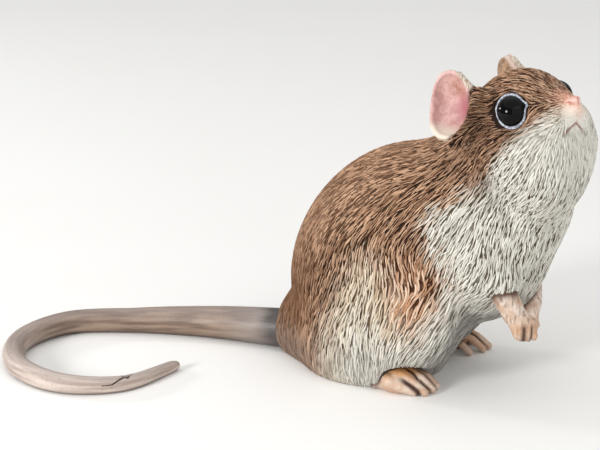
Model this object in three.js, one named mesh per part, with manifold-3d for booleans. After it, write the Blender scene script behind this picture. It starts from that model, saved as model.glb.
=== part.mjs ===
// A life-size cast and painted figure of a field mouse, sitting up with its head turned and
// raised, its tail laid round in a hook. All sizes are millimetres. +X is the way the body
// faces, +Y its left side, +Z up, and the origin is on the shelf under the rump.
import * as THREE from 'three';
import { mergeVertices } from 'three/addons/utils/BufferGeometryUtils.js';
import Module from 'manifold-3d';

const wasm = await Module();
wasm.setup();

// ---- driving dimensions -------------------------------------------------------------------

const seam = 0.3; // open line left between neighbouring pieces
const shelf = 0; // height of every resting flat
const sides = { left: 1, right: -1 }; // sign of y on each side of the body

const headCentre = [36.8, -7.5, 59.6];
const headTurn = [-18.5, 28.5, 3]; // yaw, nose up, tilt, in degrees
const eyeRadius = 3.3;
const eyePlace = [3.9, 7.5, 2.2]; // in the head's own frame, mirrored for the right eye
const earPlaces = { left: [-5.3, 11.7, 7.3], right: [-7.0, -10.7, 7.6] }; // in the head's frame
const earTurns = { left: [53, 7, 2], right: [-59, 13, -14] };
const earHalfWidth = 5.4;
const earHalfHeight = 7.2;
const earDepth = 3.4; // half depth of the egg the cup is cut from
const earHollow = { narrower: 1.3, forward: 2 }; // how the hollow differs from the egg
const earRim = 1.4; // how far in front of the egg's middle the cup is cut open
const nosePlace = [12.7, 0, 0.1];
const noseRadii = [1.5, 1.8, 1.4];

const thighEgg = { radii: [15.4, 9.5, 13.6], pitch: 20, x: 9, y: 17.5, z: 14.2 };
const upperArmEgg = { radii: [5.6, 6, 10.5], pitch: 28, roll: 8, x: 31.2, outward: 2, z: 25.4 };
const elbows = { left: [32.7, 8.6, 22], right: [32.7, -10.6, 22] };
const wrists = { left: [36.8, 2.8, 17.4], right: [36.6, -9.4, 19.3] };
const knuckles = { left: [37.7, 2.0, 14.0], right: [39.0, -9.0, 16.0] };
const wristRadii = [2.5, 1.9]; // at the elbow, at the knuckles
const palmRadii = [1.9, 2.4, 2.2];
const fingers = [-1.5, -0.5, 0.5, 1.5]; // places across the palm
const fingerRadii = [0.85, 0.55];
const fingerReach = { bend: 1.9, tip: 3.7 };

const heel = [8.5, 12.8]; // left foot's, mirrored for the right
const footHeadings = { left: 6, right: -8 }; // degrees
const instep = { along: 4.2, up: 2.1, radii: [6, 2.7, 3.1], pitch: -10 };
const toes = [
  [-2.0, 11.2, -2.9], [-1.0, 12.9, -1.3], [0, 13.4, 0.1], [1.0, 12.8, 1.5], [1.9, 10.8, 3.0],
]; // root across the foot, reach from the heel, tip across the foot
const toeRadii = [1.2, 0.75];

const tailPath = [
  [-14.1, -0.2], [-27.9, -0.8], [-39.1, -1.9], [-54.5, -6.2], [-68.7, -14.5],
  [-72.0, -28.1], [-65.2, -40.1], [-51.7, -44.9], [-40.0, -39.2], [-34.7, -22.7],
]; // the tail's middle line, seen from above
const tailRadii = [[0, 4.68], [0.33, 2.82], [0.75, 2.23], [1, 1.14]]; // share of length, radius
const tailStarts = [0.045, 0.25, 0.5, 0.74, 1]; // where the tail's lengths meet

// ---- small helpers ------------------------------------------------------------------------

const vec = (p) => new THREE.Vector3(...p);

// A turn by yaw, then nose up, then tilt, in degrees.
function turned([yaw, pitch, roll]) {
  const rad = THREE.MathUtils.degToRad;
  const turn = new THREE.Matrix4().makeRotationZ(rad(yaw));
  turn.multiply(new THREE.Matrix4().makeRotationY(-rad(pitch)));
  return turn.multiply(new THREE.Matrix4().makeRotationX(rad(roll)));
}

const headFrame = turned(headTurn).setPosition(vec(headCentre));
const onHead = (x, y, z) => new THREE.Vector3(x, y, z).applyMatrix4(headFrame).toArray();

// ---- soft masses: each is a function that is below zero inside the mass ---------------------

function ball(centre, radii, turn = [0, 0, 0], frame = new THREE.Matrix4()) {
  const place = frame.clone().multiply(turned(turn).setPosition(vec(centre))).invert();
  const size = vec(radii);
  const sizeSquared = size.clone().multiply(size);
  const local = new THREE.Vector3();
  return (point) => {
    local.copy(point).applyMatrix4(place);
    const reach = local.clone().divide(size).length();
    const slope = local.divide(sizeSquared).length();
    return reach * (reach - 1) / Math.max(slope, 1e-9);
  };
}

function limb(from, to, radiusFrom, radiusTo) {
  const start = vec(from);
  const along = vec(to).sub(start);
  const lengthSquared = along.lengthSq();
  return (point) => {
    const offset = point.clone().sub(start);
    const share = THREE.MathUtils.clamp(offset.dot(along) / lengthSquared, 0, 1);
    offset.addScaledVector(along, -share);
    return offset.length() - THREE.MathUtils.lerp(radiusFrom, radiusTo, share);
  };
}

// Two masses run together with a soft fillet of the given width.
function blend(one, other, width) {
  return (point) => {
    const a = one(point);
    const b = other(point);
    const near = Math.max(width - Math.abs(a - b), 0) / width;
    return Math.min(a, b) - near * near * width / 4;
  };
}

// Each entry is a mass and the width of its fillet to all before it.
function gathered(first, ...rest) {
  return rest.reduce((sum, [mass, width]) => blend(sum, mass, width), first);
}

const onBothSides = (make) => [make(sides.left), make(sides.right)];

const torso = gathered(
  ball([7, 0, 24.6], [28.1, 17.2, 21.9], [0, 55.5, 0]), // loin and belly
  [ball([-0.6, 0, 5.6], [18.4, 18.2, 11.8]), 6], // rump
  [ball([18, 0, 33.1], [16.5, 15.5, 14.6], [0, 45, 0]), 6], // shoulders
  [ball([29.8, 0, 33], [12, 12.4, 18.4], [0, -7, 0]), 6], // chest
);

const neck = blend(
  limb([27, -1, 43.7], onHead(-4, 0, -4), 13.2, 9.6),
  limb([34.5, -1, 41.7], onHead(-1, 0, -9), 10.4, 6.9), // throat
  5,
);

const skull = gathered(
  ball([0, 0, 0.8], [10.2, 10.2, 9.7], [0, 0, 0], headFrame),
  [ball([6, 0, -1.1], [7.5, 4.4, 3.9], [0, -6, 0], headFrame), 4], // muzzle
  ...onBothSides((side) => [
    ball([6.7, side * 3.4, -4.9], [4.2, 3.6, 3.6], [-side * 15, 0, 0], headFrame), 2.5]), // whisker pads
  ...onBothSides((side) => [
    ball([3, side * 5.6, -7.2], [6.6, 5.3, 5.3], [-side * 12, 0, 0], headFrame), 4]), // cheeks
  [ball([2.6, 0, -8.2], [6, 5.2, 4.6], [0, 0, 0], headFrame), 4], // chin
  [ball([0.8, 0, -10.5], [6.6, 9.4, 8.5], [0, -20, 0], headFrame), 4], // jowls
);

const headless = gathered(
  torso,
  [neck, 6],
  ...onBothSides((side) => [
    ball([9.1, side * 11.6, 13.9], [15.8, 7, 13.4], [0, 20, 0]), 4]), // thighs
  [limb([-12, -0.1, 6.6], [-22, -0.5, 4.6], 4.6, 3.7), 9], // root of the tail
);
const body = blend(headless, skull, 4);

function bodyWithArm(which) {
  const upperArm = limb([28, sides[which] * 10.8, 29], elbows[which], 5.2, 3.3);
  return blend(headless, upperArm, 4);
}

// ---- solids -------------------------------------------------------------------------------

function solidOf(geometry) {
  const bare = geometry.clone();
  bare.deleteAttribute('normal');
  bare.deleteAttribute('uv');
  const merged = mergeVertices(bare, 1e-5);
  return new wasm.Manifold(new wasm.Mesh({
    numProp: 3,
    vertProperties: new Float32Array(merged.attributes.position.array),
    triVerts: new Uint32Array(merged.index.array),
  }));
}

// What is left of a solid once stray chips from a cut are dropped.
const largest = (solid) => solid.decompose().sort((a, b) => b.volume() - a.volume())[0];

function geometryOf(solid) {
  const mesh = solid.getMesh();
  const geometry = new THREE.BufferGeometry();
  geometry.setAttribute('position', new THREE.BufferAttribute(mesh.vertProperties, 3));
  geometry.setIndex(new THREE.BufferAttribute(mesh.triVerts, 1));
  geometry.computeVertexNormals();
  return geometry;
}

// Moves every vertex of a geometry by a rule and makes a solid of the result.
function moulded(geometry, rule) {
  const place = geometry.attributes.position;
  const point = new THREE.Vector3();
  for (let i = 0; i < place.count; i++) {
    point.fromBufferAttribute(place, i);
    rule(point);
    place.setXYZ(i, point.x, point.y, point.z);
  }
  return solidOf(geometry);
}

// A ball of small triangles let out from the centre until it meets the soft mass's skin,
// or a skin that stands off it by a little. Stretching the ball first spreads its triangles
// evenly over a long form.
function wrapped(mass, { centre, detail, stretch }, standOff = 0) {
  const core = vec(centre);
  const longestReach = 90;
  const finestStep = 0.2;
  return moulded(new THREE.IcosahedronGeometry(1, detail), (point) => {
    const way = point.clone().applyMatrix4(stretch).normalize();
    const at = (reach) => mass(core.clone().addScaledVector(way, reach)) - standOff;
    let outer = 0;
    let inner = 0;
    while (outer < longestReach && at(outer) < 0) {
      inner = outer;
      outer += Math.max(finestStep, -at(outer) * 0.7);
    }
    for (let i = 0; i < 18; i++) {
      const middle = (inner + outer) / 2;
      if (at(middle) < 0) inner = middle;
      else outer = middle;
    }
    point.copy(core).addScaledVector(way, outer);
  });
}

// The half of space behind a plane, as a box large enough for the whole figure.
function halfSpace(point, normal, back = 0) {
  const size = 400;
  const way = vec(normal).normalize();
  const box = new THREE.BoxGeometry(size, size, size);
  box.translate(0, 0, -size / 2 - back);
  const turn = new THREE.Quaternion().setFromUnitVectors(new THREE.Vector3(0, 0, 1), way);
  box.applyQuaternion(turn);
  box.translate(...point);
  return solidOf(box);
}

const reversed = (normal) => normal.map((n) => -n);
const aboveShelf = halfSpace([0, 0, shelf], [0, 0, -1]);

const upward = new THREE.Vector3(0, 0, 1);
const forward = new THREE.Vector3(1, 0, 0);

// A round tapering rod along a curve, with a rounded far end if asked for. Its rings keep one
// side towards the brow direction, which must not be the way the rod runs.
function taperedRod(curve, radiusAt, { from = 0, to = 1, steps, sides, roundTip, brow = upward }) {
  const rod = new THREE.CylinderGeometry(1, 1, 1, sides, steps);
  const length = curve.getLength() * (to - from);
  return moulded(rod, (point) => {
    const share = 0.5 - point.y;
    const bunched = roundTip ? Math.sin(share * Math.PI / 2) : share; // rings crowd at the tip
    const u = from + (to - from) * bunched;
    const radius = radiusAt(u);
    const toTip = Math.max(radius - length * (1 - bunched), 0) / radius;
    const shrink = roundTip ? Math.sqrt(Math.max(1 - toTip * toTip, 0.09)) : 1;
    const centre = curve.getPointAt(u);
    const ahead = curve.getTangentAt(u);
    const across = brow.clone().cross(ahead).normalize();
    const above = ahead.clone().cross(across);
    const [x, z] = [point.x * radius * shrink, point.z * radius * shrink];
    point.copy(centre).addScaledVector(across, x).addScaledVector(above, z);
  });
}

const smoothCurve = (points) => new THREE.CatmullRomCurve3(points.map(vec), false, 'centripetal');

// ---- flesh: one form, parted by thin cuts ---------------------------------------------------

const neckCut = { point: [29, -3, 46], normal: [0.4, -0.14, 0.9] }; // trunk below, neck above
const napeCut = { point: onHead(-5.2, 0, -7.2), normal: null }; // neck below, head above
napeCut.normal = vec(onHead(0.55, 0, 0.83)).sub(vec(headCentre)).toArray();
const tailCut = { point: [-19.5, 0, 0], normal: [-1, 0, 0] };

const below = (cut) => halfSpace(cut.point, cut.normal, seam / 2);
const beyond = (cut) => halfSpace(cut.point, reversed(cut.normal), seam / 2);

const longways = (pitch, x, y, z) => turned([0, pitch, 0]).scale(new THREE.Vector3(x, y, z));
const trunkBall = { centre: [18, 0, 29], detail: 7, stretch: longways(52, 1.5, 0.95, 1) };
const neckBall = { centre: [30, -4, 49], detail: 5, stretch: longways(0, 1, 1, 1) };
const headBall = { centre: onHead(0, 0, -1), detail: 7, stretch: longways(0, 1, 1, 1) };
const armBall = (which) => ({
  centre: [30.5, elbows[which][1] * 0.95, 25.5], detail: 4, stretch: longways(-55, 1.6, 1, 1),
});
const wholeTrunk = wrapped(headless, trunkBall).intersect(aboveShelf);
const bareHead = wrapped(body, headBall);
const headCoat = wrapped(body, headBall, seam); // stands one seam off the head
const trunkCoat = wrapped(headless, trunkBall, seam);

// An egg-shaped solid of the given number of facets round and along it.
function egg(centre, radii, turn, around, along, frame = new THREE.Matrix4()) {
  const lump = new THREE.SphereGeometry(1, around, along);
  lump.scale(...radii);
  lump.applyMatrix4(turned(turn));
  lump.translate(...centre);
  return solidOf(lump.applyMatrix4(frame));
}

const grown = (radii, grow) => radii.map((radius) => radius + grow);

// A thigh is what lies in an egg set against the flank.
function thighCutter(which, grow) {
  const { radii, pitch, x, y, z } = thighEgg;
  return egg([x, sides[which] * y, z], grown(radii, grow), [0, pitch, 0], 16, 10);
}

// An upper arm is what lies in a slim egg at the corner of the chest.
function upperArmCutter(which, grow) {
  const { radii, pitch, roll, x, outward, z } = upperArmEgg;
  const centre = [x, elbows[which][1] + sides[which] * outward, z];
  return egg(centre, grown(radii, grow), [0, pitch, sides[which] * roll], 12, 8);
}

function eyeball(side, grow = 0) {
  const [x, y, z] = eyePlace;
  const radius = eyeRadius + grow;
  return egg(onHead(x, side * y, z), [radius, radius, radius], [0, 0, 0], 12, 8);
}

const nosePad = (grow = 0) => egg(nosePlace, grown(noseRadii, grow), [0, 0, 0], 10, 7, headFrame);

function trunk() {
  let solid = wholeTrunk.intersect(below(neckCut)).intersect(below(tailCut));
  for (const which of Object.keys(sides)) {
    solid = solid.subtract(thighCutter(which, seam)).subtract(upperArmCutter(which, seam));
  }
  return solid;
}

function thigh(which) {
  return wholeTrunk.intersect(thighCutter(which, 0)).subtract(upperArmCutter(which, seam));
}

function upperArm(which) {
  const sleeve = wrapped(bodyWithArm(which), armBall(which));
  return sleeve.intersect(upperArmCutter(which, 0)).intersect(below(neckCut));
}

function neckPiece() {
  return wrapped(body, neckBall).intersect(beyond(neckCut)).intersect(below(napeCut));
}

function head() {
  let solid = bareHead.intersect(beyond(napeCut)).subtract(nosePad(seam));
  for (const side of Object.values(sides)) solid = solid.subtract(eyeball(side, seam));
  return solid;
}

// ---- ears: thin round cups that open forward and out ----------------------------------------

function ear(which) {
  const place = headFrame.clone();
  place.multiply(turned(earTurns[which]).setPosition(vec(earPlaces[which])));
  const bowl = (forward, narrower) => egg(
    [forward, 0, 0],
    [earDepth, earHalfWidth - narrower, earHalfHeight - narrower],
    [0, 0, 0],
    12,
    8,
    place,
  );
  const mouth = vec([earRim - 1, 0, 0]).applyMatrix4(place).toArray();
  const facing = vec([1, 0, 0]).transformDirection(place).toArray();
  return bowl(-1, 0)
    .subtract(bowl(earHollow.forward - 1, earHollow.narrower))
    .intersect(halfSpace(mouth, facing))
    .subtract(headCoat);
}

// ---- paws and feet --------------------------------------------------------------------------

function digit(points, [atRoot, atTip], options = {}) {
  const radiusAt = (share) => THREE.MathUtils.lerp(atRoot, atTip, share);
  const shape = { steps: 4, sides: 6, roundTip: true, ...options };
  return taperedRod(smoothCurve(points), radiusAt, shape);
}

// A long hind foot: heel under the thigh, a low instep and five toes fanned on the shelf.
function hindFoot(which) {
  const side = sides[which];
  const turn = THREE.MathUtils.degToRad(footHeadings[which]);
  const onFoot = (along, out, up) => [
    heel[0] + along * Math.cos(turn) - side * out * Math.sin(turn),
    side * heel[1] + along * Math.sin(turn) + side * out * Math.cos(turn),
    up,
  ];
  const { along, up, radii, pitch } = instep;
  let foot = egg(onFoot(along, 0, up), radii, [footHeadings[which], pitch, 0], 12, 7);
  for (const [root, reach, spread] of toes) {
    foot = foot.add(digit([
      onFoot(5, root * 0.8, 1.8),
      onFoot(8, root, 2.1),
      onFoot((reach + 8) / 2, (root + spread) / 2, 1.7),
      onFoot(reach, spread, 0.7),
    ], toeRadii));
  }
  return foot.intersect(aboveShelf).subtract(trunkCoat);
}

// A forepaw: bare wrist out of the fur, a small palm and four fingers that hang and curl.
function forePaw(which) {
  const wrist = wrists[which];
  const hand = knuckles[which];
  const down = vec(hand).sub(vec(wrist)).normalize();
  const beyondHand = (reach, ...shift) => vec(hand).addScaledVector(down, reach).add(vec(shift));
  let paw = digit([elbows[which], wrist, hand], wristRadii, { sides: 8, brow: forward });
  paw = paw.add(egg(beyondHand(0.4, 0, 0, 0).toArray(), palmRadii, [0, 0, 0], 8, 5));
  for (const place of fingers) {
    const curl = Math.abs(place) * 0.4; // outer fingers are shorter
    const root = beyondHand(0, 0.2, place * 0.8, 0);
    const bend = beyondHand(fingerReach.bend, 0.8, place * 1.15, 0);
    const tip = beyondHand(0, 0.3, place * 1.25, curl - fingerReach.tip);
    const line = [root, bend, tip].map((point) => point.toArray());
    paw = paw.add(digit(line, fingerRadii, { steps: 3, sides: 5, brow: forward }));
  }
  const sleeve = wrapped(bodyWithArm(which), armBall(which), seam);
  return largest(paw.subtract(trunkCoat).subtract(sleeve));
}

// ---- tail -----------------------------------------------------------------------------------

function tailRadiusAt(share) {
  const next = tailRadii.findIndex(([at]) => at >= share);
  if (next <= 0) return tailRadii[0][1];
  const [fromShare, fromRadius] = tailRadii[next - 1];
  const [toShare, toRadius] = tailRadii[next];
  return THREE.MathUtils.mapLinear(share, fromShare, toShare, fromRadius, toRadius);
}

const flatDepth = 0.1; // how far the tail's round is cut flat where it lies
const tailCurve = smoothCurve(tailPath.map(([x, y], i) => {
  const share = i / (tailPath.length - 1);
  return [x, y, tailRadiusAt(share) - flatDepth];
}));

function tailLength(index) {
  const parting = seam / 2 / tailCurve.getLength();
  const first = index === 0;
  const last = index === tailStarts.length - 2;
  const from = tailStarts[index] + parting;
  const to = tailStarts[index + 1] - (last ? 0 : parting);
  const shape = { from, to, steps: 8, sides: 10, roundTip: last };
  const rod = taperedRod(tailCurve, tailRadiusAt, shape).intersect(aboveShelf);
  return first ? rod.intersect(beyond(tailCut)) : rod;
}

// ---- the figure -----------------------------------------------------------------------------

const paints = {
  coat: new THREE.MeshStandardMaterial({ color: 0xa98b6c, roughness: 0.75, metalness: 0 }),
  pale: new THREE.MeshStandardMaterial({ color: 0xd9d5c3, roughness: 0.75, metalness: 0 }),
  skin: new THREE.MeshStandardMaterial({ color: 0xe3b99a, roughness: 0.6, metalness: 0 }),
  ear: new THREE.MeshStandardMaterial({ color: 0xdfa9a0, roughness: 0.6, metalness: 0 }),
  tail: new THREE.MeshStandardMaterial({ color: 0xa08f83, roughness: 0.6, metalness: 0 }),
  eye: new THREE.MeshStandardMaterial({ color: 0x0b0b0d, roughness: 0.08, metalness: 0 }),
};

const figure = new THREE.Group();

function addPiece(name, solid, paint) {
  const mesh = new THREE.Mesh(geometryOf(solid), paint);
  mesh.name = name;
  figure.add(mesh);
}

addPiece('trunk', trunk(), paints.coat);
addPiece('neck', neckPiece(), paints.coat);
addPiece('head', head(), paints.coat);
addPiece('nose', nosePad(), paints.skin);
for (const which of Object.keys(sides)) {
  addPiece(`eye_${which}`, eyeball(sides[which]), paints.eye);
  addPiece(`ear_${which}`, ear(which), paints.ear);
  addPiece(`foreleg_${which}`, upperArm(which), paints.pale);
  addPiece(`forepaw_${which}`, forePaw(which), paints.skin);
  addPiece(`hindleg_${which}`, thigh(which), paints.pale);
  addPiece(`hindfoot_${which}`, hindFoot(which), paints.skin);
}
['tail_root', 'tail_middle', 'tail_bend', 'tail_tip'].forEach((name, index) => {
  addPiece(name, tailLength(index), paints.tail);
});

export default figure;
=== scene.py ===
# A life-size cast and painted figure of a field mouse sitting up on a pale table.
import math

import bpy
import numpy as np
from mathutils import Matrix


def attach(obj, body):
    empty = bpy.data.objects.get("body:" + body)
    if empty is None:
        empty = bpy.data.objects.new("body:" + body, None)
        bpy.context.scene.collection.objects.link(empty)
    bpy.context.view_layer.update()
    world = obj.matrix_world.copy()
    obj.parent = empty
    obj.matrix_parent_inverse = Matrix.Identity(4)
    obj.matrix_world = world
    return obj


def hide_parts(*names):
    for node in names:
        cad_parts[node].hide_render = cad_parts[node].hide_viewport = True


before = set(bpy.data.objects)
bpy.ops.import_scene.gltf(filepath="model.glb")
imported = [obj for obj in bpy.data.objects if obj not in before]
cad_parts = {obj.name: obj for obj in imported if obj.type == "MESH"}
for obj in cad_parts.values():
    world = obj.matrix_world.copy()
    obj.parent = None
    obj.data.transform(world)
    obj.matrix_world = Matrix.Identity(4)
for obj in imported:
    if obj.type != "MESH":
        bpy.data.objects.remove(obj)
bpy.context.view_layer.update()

import openvdb
from mathutils import Vector, kdtree

mm = 0.001  # shapes below are worked out in millimetres and stored in metres
rng = np.random.default_rng(7)


def turned(yaw, pitch, roll):
    # yaw, then nose up, then tilt, in degrees
    cy, sy = math.cos(math.radians(yaw)), math.sin(math.radians(yaw))
    cp, sp = math.cos(math.radians(-pitch)), math.sin(math.radians(-pitch))
    cr, sr = math.cos(math.radians(roll)), math.sin(math.radians(roll))
    aboutZ = np.array([[cy, -sy, 0], [sy, cy, 0], [0, 0, 1]])
    aboutY = np.array([[cp, 0, sp], [0, 1, 0], [-sp, 0, cp]])
    aboutX = np.array([[1, 0, 0], [0, cr, -sr], [0, sr, cr]])
    return aboutZ @ aboutY @ aboutX


def smooth(value, start, full):
    # 0 up to start, 1 from full on, whichever of them is the larger, with soft ends
    share = np.clip((value - start) / (full - start), 0, 1)
    return share * share * (3 - 2 * share)


def bell(value, reach):
    # 1 at zero, fading to both sides
    return np.exp(-((value / reach) ** 2))


def unit(vectors):
    return vectors / np.maximum(np.linalg.norm(vectors, axis=-1, keepdims=True), 1e-9)


def dot(a, b):
    return np.sum(a * b, axis=-1, keepdims=True)


def softMax(a, b, width):
    # the larger of two distances, the crease between them rounded over by width
    gap = np.maximum(width - np.abs(a - b), 0) / width
    return np.maximum(a, b) + gap * gap * width / 4


def softMin(a, b, width):
    return -softMax(-a, -b, width)


head = {
    "at": np.array([36.8, -7.5, 59.6]),
    "turn": turned(-18.5, 28.5, 3),
    "eye": (3.9, 7.5, 2.2),  # centre of the left eyeball, mirrored for the right
    "eyeRadius": 3.3,
}


def onHead(x, y, z):
    return head["at"] + head["turn"] @ np.array([x, y, z], float)


def toHead(p):
    return (p - head["at"]) @ head["turn"]


# soft masses: each is a function of points that is below zero inside
def ball(centre, radii, turn=(0, 0, 0), ofHead=False):
    axes = turned(*turn)
    middle = np.array(centre, float)
    if ofHead:
        axes = head["turn"] @ axes
        middle = onHead(*centre)
    radii = np.array(radii, float)

    def mass(p):
        local = (p - middle) @ axes / radii
        reach = np.linalg.norm(local, axis=-1)
        slope = np.linalg.norm(local / radii, axis=-1)
        return reach * (reach - 1) / np.maximum(slope, 1e-9)

    return mass


def limb(start, end, radiusStart, radiusEnd):
    start = np.array(start, float)
    along = np.array(end, float) - start

    def mass(p):
        offset = p - start
        share = np.clip(offset @ along / (along @ along), 0, 1)
        gap = np.linalg.norm(offset - share[..., None] * along, axis=-1)
        return gap - radiusStart - (radiusEnd - radiusStart) * share

    return mass


def plainBall(q, radii, power=2):
    # an egg round the origin, squarer across x for a higher power
    radii = np.array(radii, float)
    flat = np.abs(q[..., 1:] / radii[1:])
    flat = np.sum(flat**power, axis=-1) ** (1 / power)
    reach = np.hypot(q[..., 0] / radii[0], flat)
    return (reach - 1) * np.min(radii) * np.clip(reach, 0.6, 1.6)


def links(line, radii):
    # straight limbs from each place on a line to the next
    return [limb(a, b, r, s) for a, b, r, s in zip(line, line[1:], radii, radii[1:])]


def chain(line, radii):
    # the same as one limb with rounded joints
    parts = links(line, radii)
    return lambda p: np.min([part(p) for part in parts], axis=0)


def blend(one, other, width):
    return lambda p: softMin(one(p), other(p), width)


def parted(mass, room, width):
    # a mass with room cut out of it
    return lambda p: softMax(mass(p), -room(p), width)


def gathered(first, *rest):
    total = first
    for mass, width in rest:
        total = blend(total, mass, width)
    return total


def onBothSides(make):
    return [make(1), make(-1)]


torso = gathered(
    ball((7, 0, 24.6), (28.1, 17.2, 21.9), (0, 55.5, 0)),  # loin and belly
    (ball((1.6, 0, 5.6), (17.0, 17.2, 11.8)), 6),  # rump
    (ball((-9.5, 0.3, 6.4), (10.6, 9.2, 9.7)), 4),  # back of the rump, towards the tail
    (ball((18, 0, 33.1), (16.5, 15.5, 14.6), (0, 45, 0)), 6),  # shoulders
    (ball((29.8, 0, 33), (12, 12.4, 18.4), (0, -7, 0)), 6),  # chest
)
neck = blend(
    limb((27, -1, 43.7), onHead(-4, 0, -4), 13.2, 9.6),
    limb((34.8, -1, 41.9), onHead(-1, 0, -9), 10.6, 7.5),  # throat
    6,
)
skull = gathered(
    ball((0, 0, 0.8), (10.2, 10.2, 9.7), ofHead=True),
    (ball((6, 0, -1.1), (7.5, 4.4, 3.9), (0, -6, 0), True), 4),  # muzzle
    *onBothSides(lambda s: (ball((6.7, s * 3.4, -4.9), (4.2, 3.6, 3.6), (-s * 15, 0, 0), True), 2.5)),
    *onBothSides(lambda s: (ball((3, s * 5.6, -7.2), (6.6, 5.3, 5.3), (-s * 12, 0, 0), True), 4)),
    *onBothSides(lambda s: (ball((8.6, s * 3, -3.9), (3.3, 3.1, 3.3), ofHead=True), 2)),  # upper lip
    (ball((2.6, 0, -8.2), (6, 5.2, 4.6), ofHead=True), 4),  # chin
    (ball((0.8, 0, -10.5), (6.6, 9.4, 8.5), (0, -20, 0), True), 4),  # jowls
)
ears = {
    "places": {"left": (-5.3, 11.4, 6.4), "right": (-7.0, -10.7, 7.6)},
    "turns": {"left": (53, 7, 2), "right": (-59, 13, -14)},
    "front": {"left": -1, "right": 1},  # which side of the cup faces forward
    "radii": (3.4, 4.6, 7.1),
    "centre": (-0.2, 0.85),
    "power": 2.7,
    "fuller": 0.042,
    "wall": 0.75,
    "hollowForward": 2.0,
    "edge": 0.4,  # rounding of the cup where it is cut off and hollowed
    "rim": 0.26,
    "rimInset": 0.93,
    "rimSpan": 5.2,
    "rimForward": 0.15,
    "reach": 9.5,
    "pitch": 0.26,
    # the coat in front of the cup
    "fur": [(0.2, 5.2, 2.2), (0.8, 4.7, -0.6), (0.9, 3.3, -4.0), (0.2, -0.5, -7.2)],
    "furRadius": 1.25,
    # the front edge of the cup, down to the head
    "fold": [(0.2, 2.2, 6.8), (0.2, 4.5, 3.3), (-1.3, 6.2, 1.7)],
    "foldRadii": (0.35, 0.5, 0.7),
    "foldBlend": 0.5,
}


def earFrame(which):
    return onHead(*ears["places"][which]), head["turn"] @ turned(*ears["turns"][which])


def inEar(which, p):
    # places in the ear: x out of the cup, y forward, z up
    at, axes = earFrame(which)
    q = (p - at) @ axes * np.array([1, ears["front"][which], 1])
    q[..., 1] = q[..., 1] / (1 - ears["fuller"] * np.clip(q[..., 2], -7, 7))  # wider towards its foot
    return q


def onEar(which, place):
    at, axes = earFrame(which)
    return at + axes @ (np.array(place) * np.array([1, ears["front"][which], 1]))


def earFur(which):
    line = [onEar(which, place) for place in ears["fur"]]
    first, *rest = links(line, [ears["furRadius"]] * len(line))
    return gathered(first, *[(part, 0.5) for part in rest])


# hind feet: an instep and five toes, fanned on the table
feet = {
    "heels": {"left": (10.6, 15.0), "right": (9.6, -15.6)},
    "headings": {"left": 8, "right": 17},
    # the far left foot gets more brown, partly as painted shade and partly as less dry-brushing
    "tans": {"left": 0.45, "right": 0.2},  # share of brown paint
    "instep": {"along": 4.5, "out": -0.2, "up": 2.45, "radii": (3.9, 2.8, 2.9), "pitch": 9},
    "heel": ((-1.0, -0.9, 0.95), (2.6, -1.2, 1.8)),
    "heelRadii": (0.85, 1.5),
    # the coat parts over the foot
    "room": {"along": 6.2, "out": 0.4, "up": 2.4, "radii": (6.0, 3.6, 3.9)},
    "roomEdge": 1.5,
    "middle": (6.5, 0, 2),
    "reachBack": (9.5, 6.5, 3.6),
    "reachAhead": (8, 6.5, 4.2),
    "pitch": 0.18,
    "toes": {  # root, bend and tip of each, as along, out and up
        "right": (
            ((2.0, 1.5, 2.9), (4.8, 2.2, 2.0), (7.6, 2.1, 0.85)),
            ((4.6, 1.4, 4.4), (7.2, 1.9, 3.0), (9.8, 2.1, 0.85)),
            ((6.2, -0.7, 4.5), (8.8, -0.3, 3.1), (11.2, 0.2, 0.85)),
            ((7.0, -2.5, 4.2), (9.9, -2.3, 2.8), (12.0, -2.0, 0.8)),
            ((6.0, -3.8, 3.4), (8.6, -4.2, 2.2), (10.4, -4.2, 0.75)),
        ),
        "left": (
            ((2.0, 1.5, 2.9), (4.8, 2.2, 2.0), (7.6, 2.1, 0.85)),
            ((4.6, 1.6, 4.4), (7.6, 2.2, 3.0), (10.4, 2.6, 0.85)),
            ((6.6, -0.7, 4.5), (9.6, -0.2, 3.1), (12.2, 0.4, 0.85)),
            ((6.0, -2.2, 4.2), (9.0, -2.1, 2.9), (11.4, -2.0, 0.85)),
            ((4.6, -3.6, 3.4), (7.0, -4.4, 2.2), (9.0, -4.9, 0.8)),
        ),
    },
    "toeRadii": (
        (1.5, 1.2, 0.85), (0.85, 0.85, 0.85), (0.8, 0.85, 0.8), (0.75, 0.8, 0.75), (0.8, 0.8, 0.7),
    ),
}


def onFoot(which):
    side = 1 if which == "left" else -1
    turn = math.radians(feet["headings"][which])
    heelX, heelY = feet["heels"][which]

    def place(along, out, up):
        return np.array([
            heelX + along * math.cos(turn) - side * out * math.sin(turn),
            heelY + along * math.sin(turn) + side * out * math.cos(turn),
            up,
        ])

    return place


def footRoom(which):
    room = feet["room"]
    centre = onFoot(which)(room["along"], room["out"], room["up"])
    return ball(centre, room["radii"], (feet["headings"][which], 0, 0))


elbows = {"left": (32.0, 8.7, 23), "right": (34.4, -10.7, 25.9)}  # ends of the sleeves
whole = gathered(
    torso,
    (neck, 6),
    *onBothSides(lambda s: (ball((9.1, s * 11.6, 13.9), (15.8, 7, 13.4), (0, 20, 0)), 4)),  # thighs
    (limb((-12, -0.1, 6.6), (-22, -0.5, 4.6), 4.6, 3.7), 7),  # root of the tail
    (skull, 6.5),
    (earFur("left"), 2.5),
    (earFur("right"), 2.5),
    (limb((28, 10.8, 29), elbows["left"], 5.2, 3.0), 4),  # upper arms
    (limb((28, -10.8, 29), elbows["right"], 5.2, 3.0), 4),
)
for which in ("left", "right"):
    whole = parted(whole, footRoom(which), feet["roomEdge"])


def slope(mass, p, step=0.04):
    # outward direction of a mass at each point
    parts = []
    for axis in range(3):
        shift = np.zeros(3)
        shift[axis] = step
        parts.append(mass(p + shift) - mass(p - shift))
    return unit(np.stack(parts, axis=-1))


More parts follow.
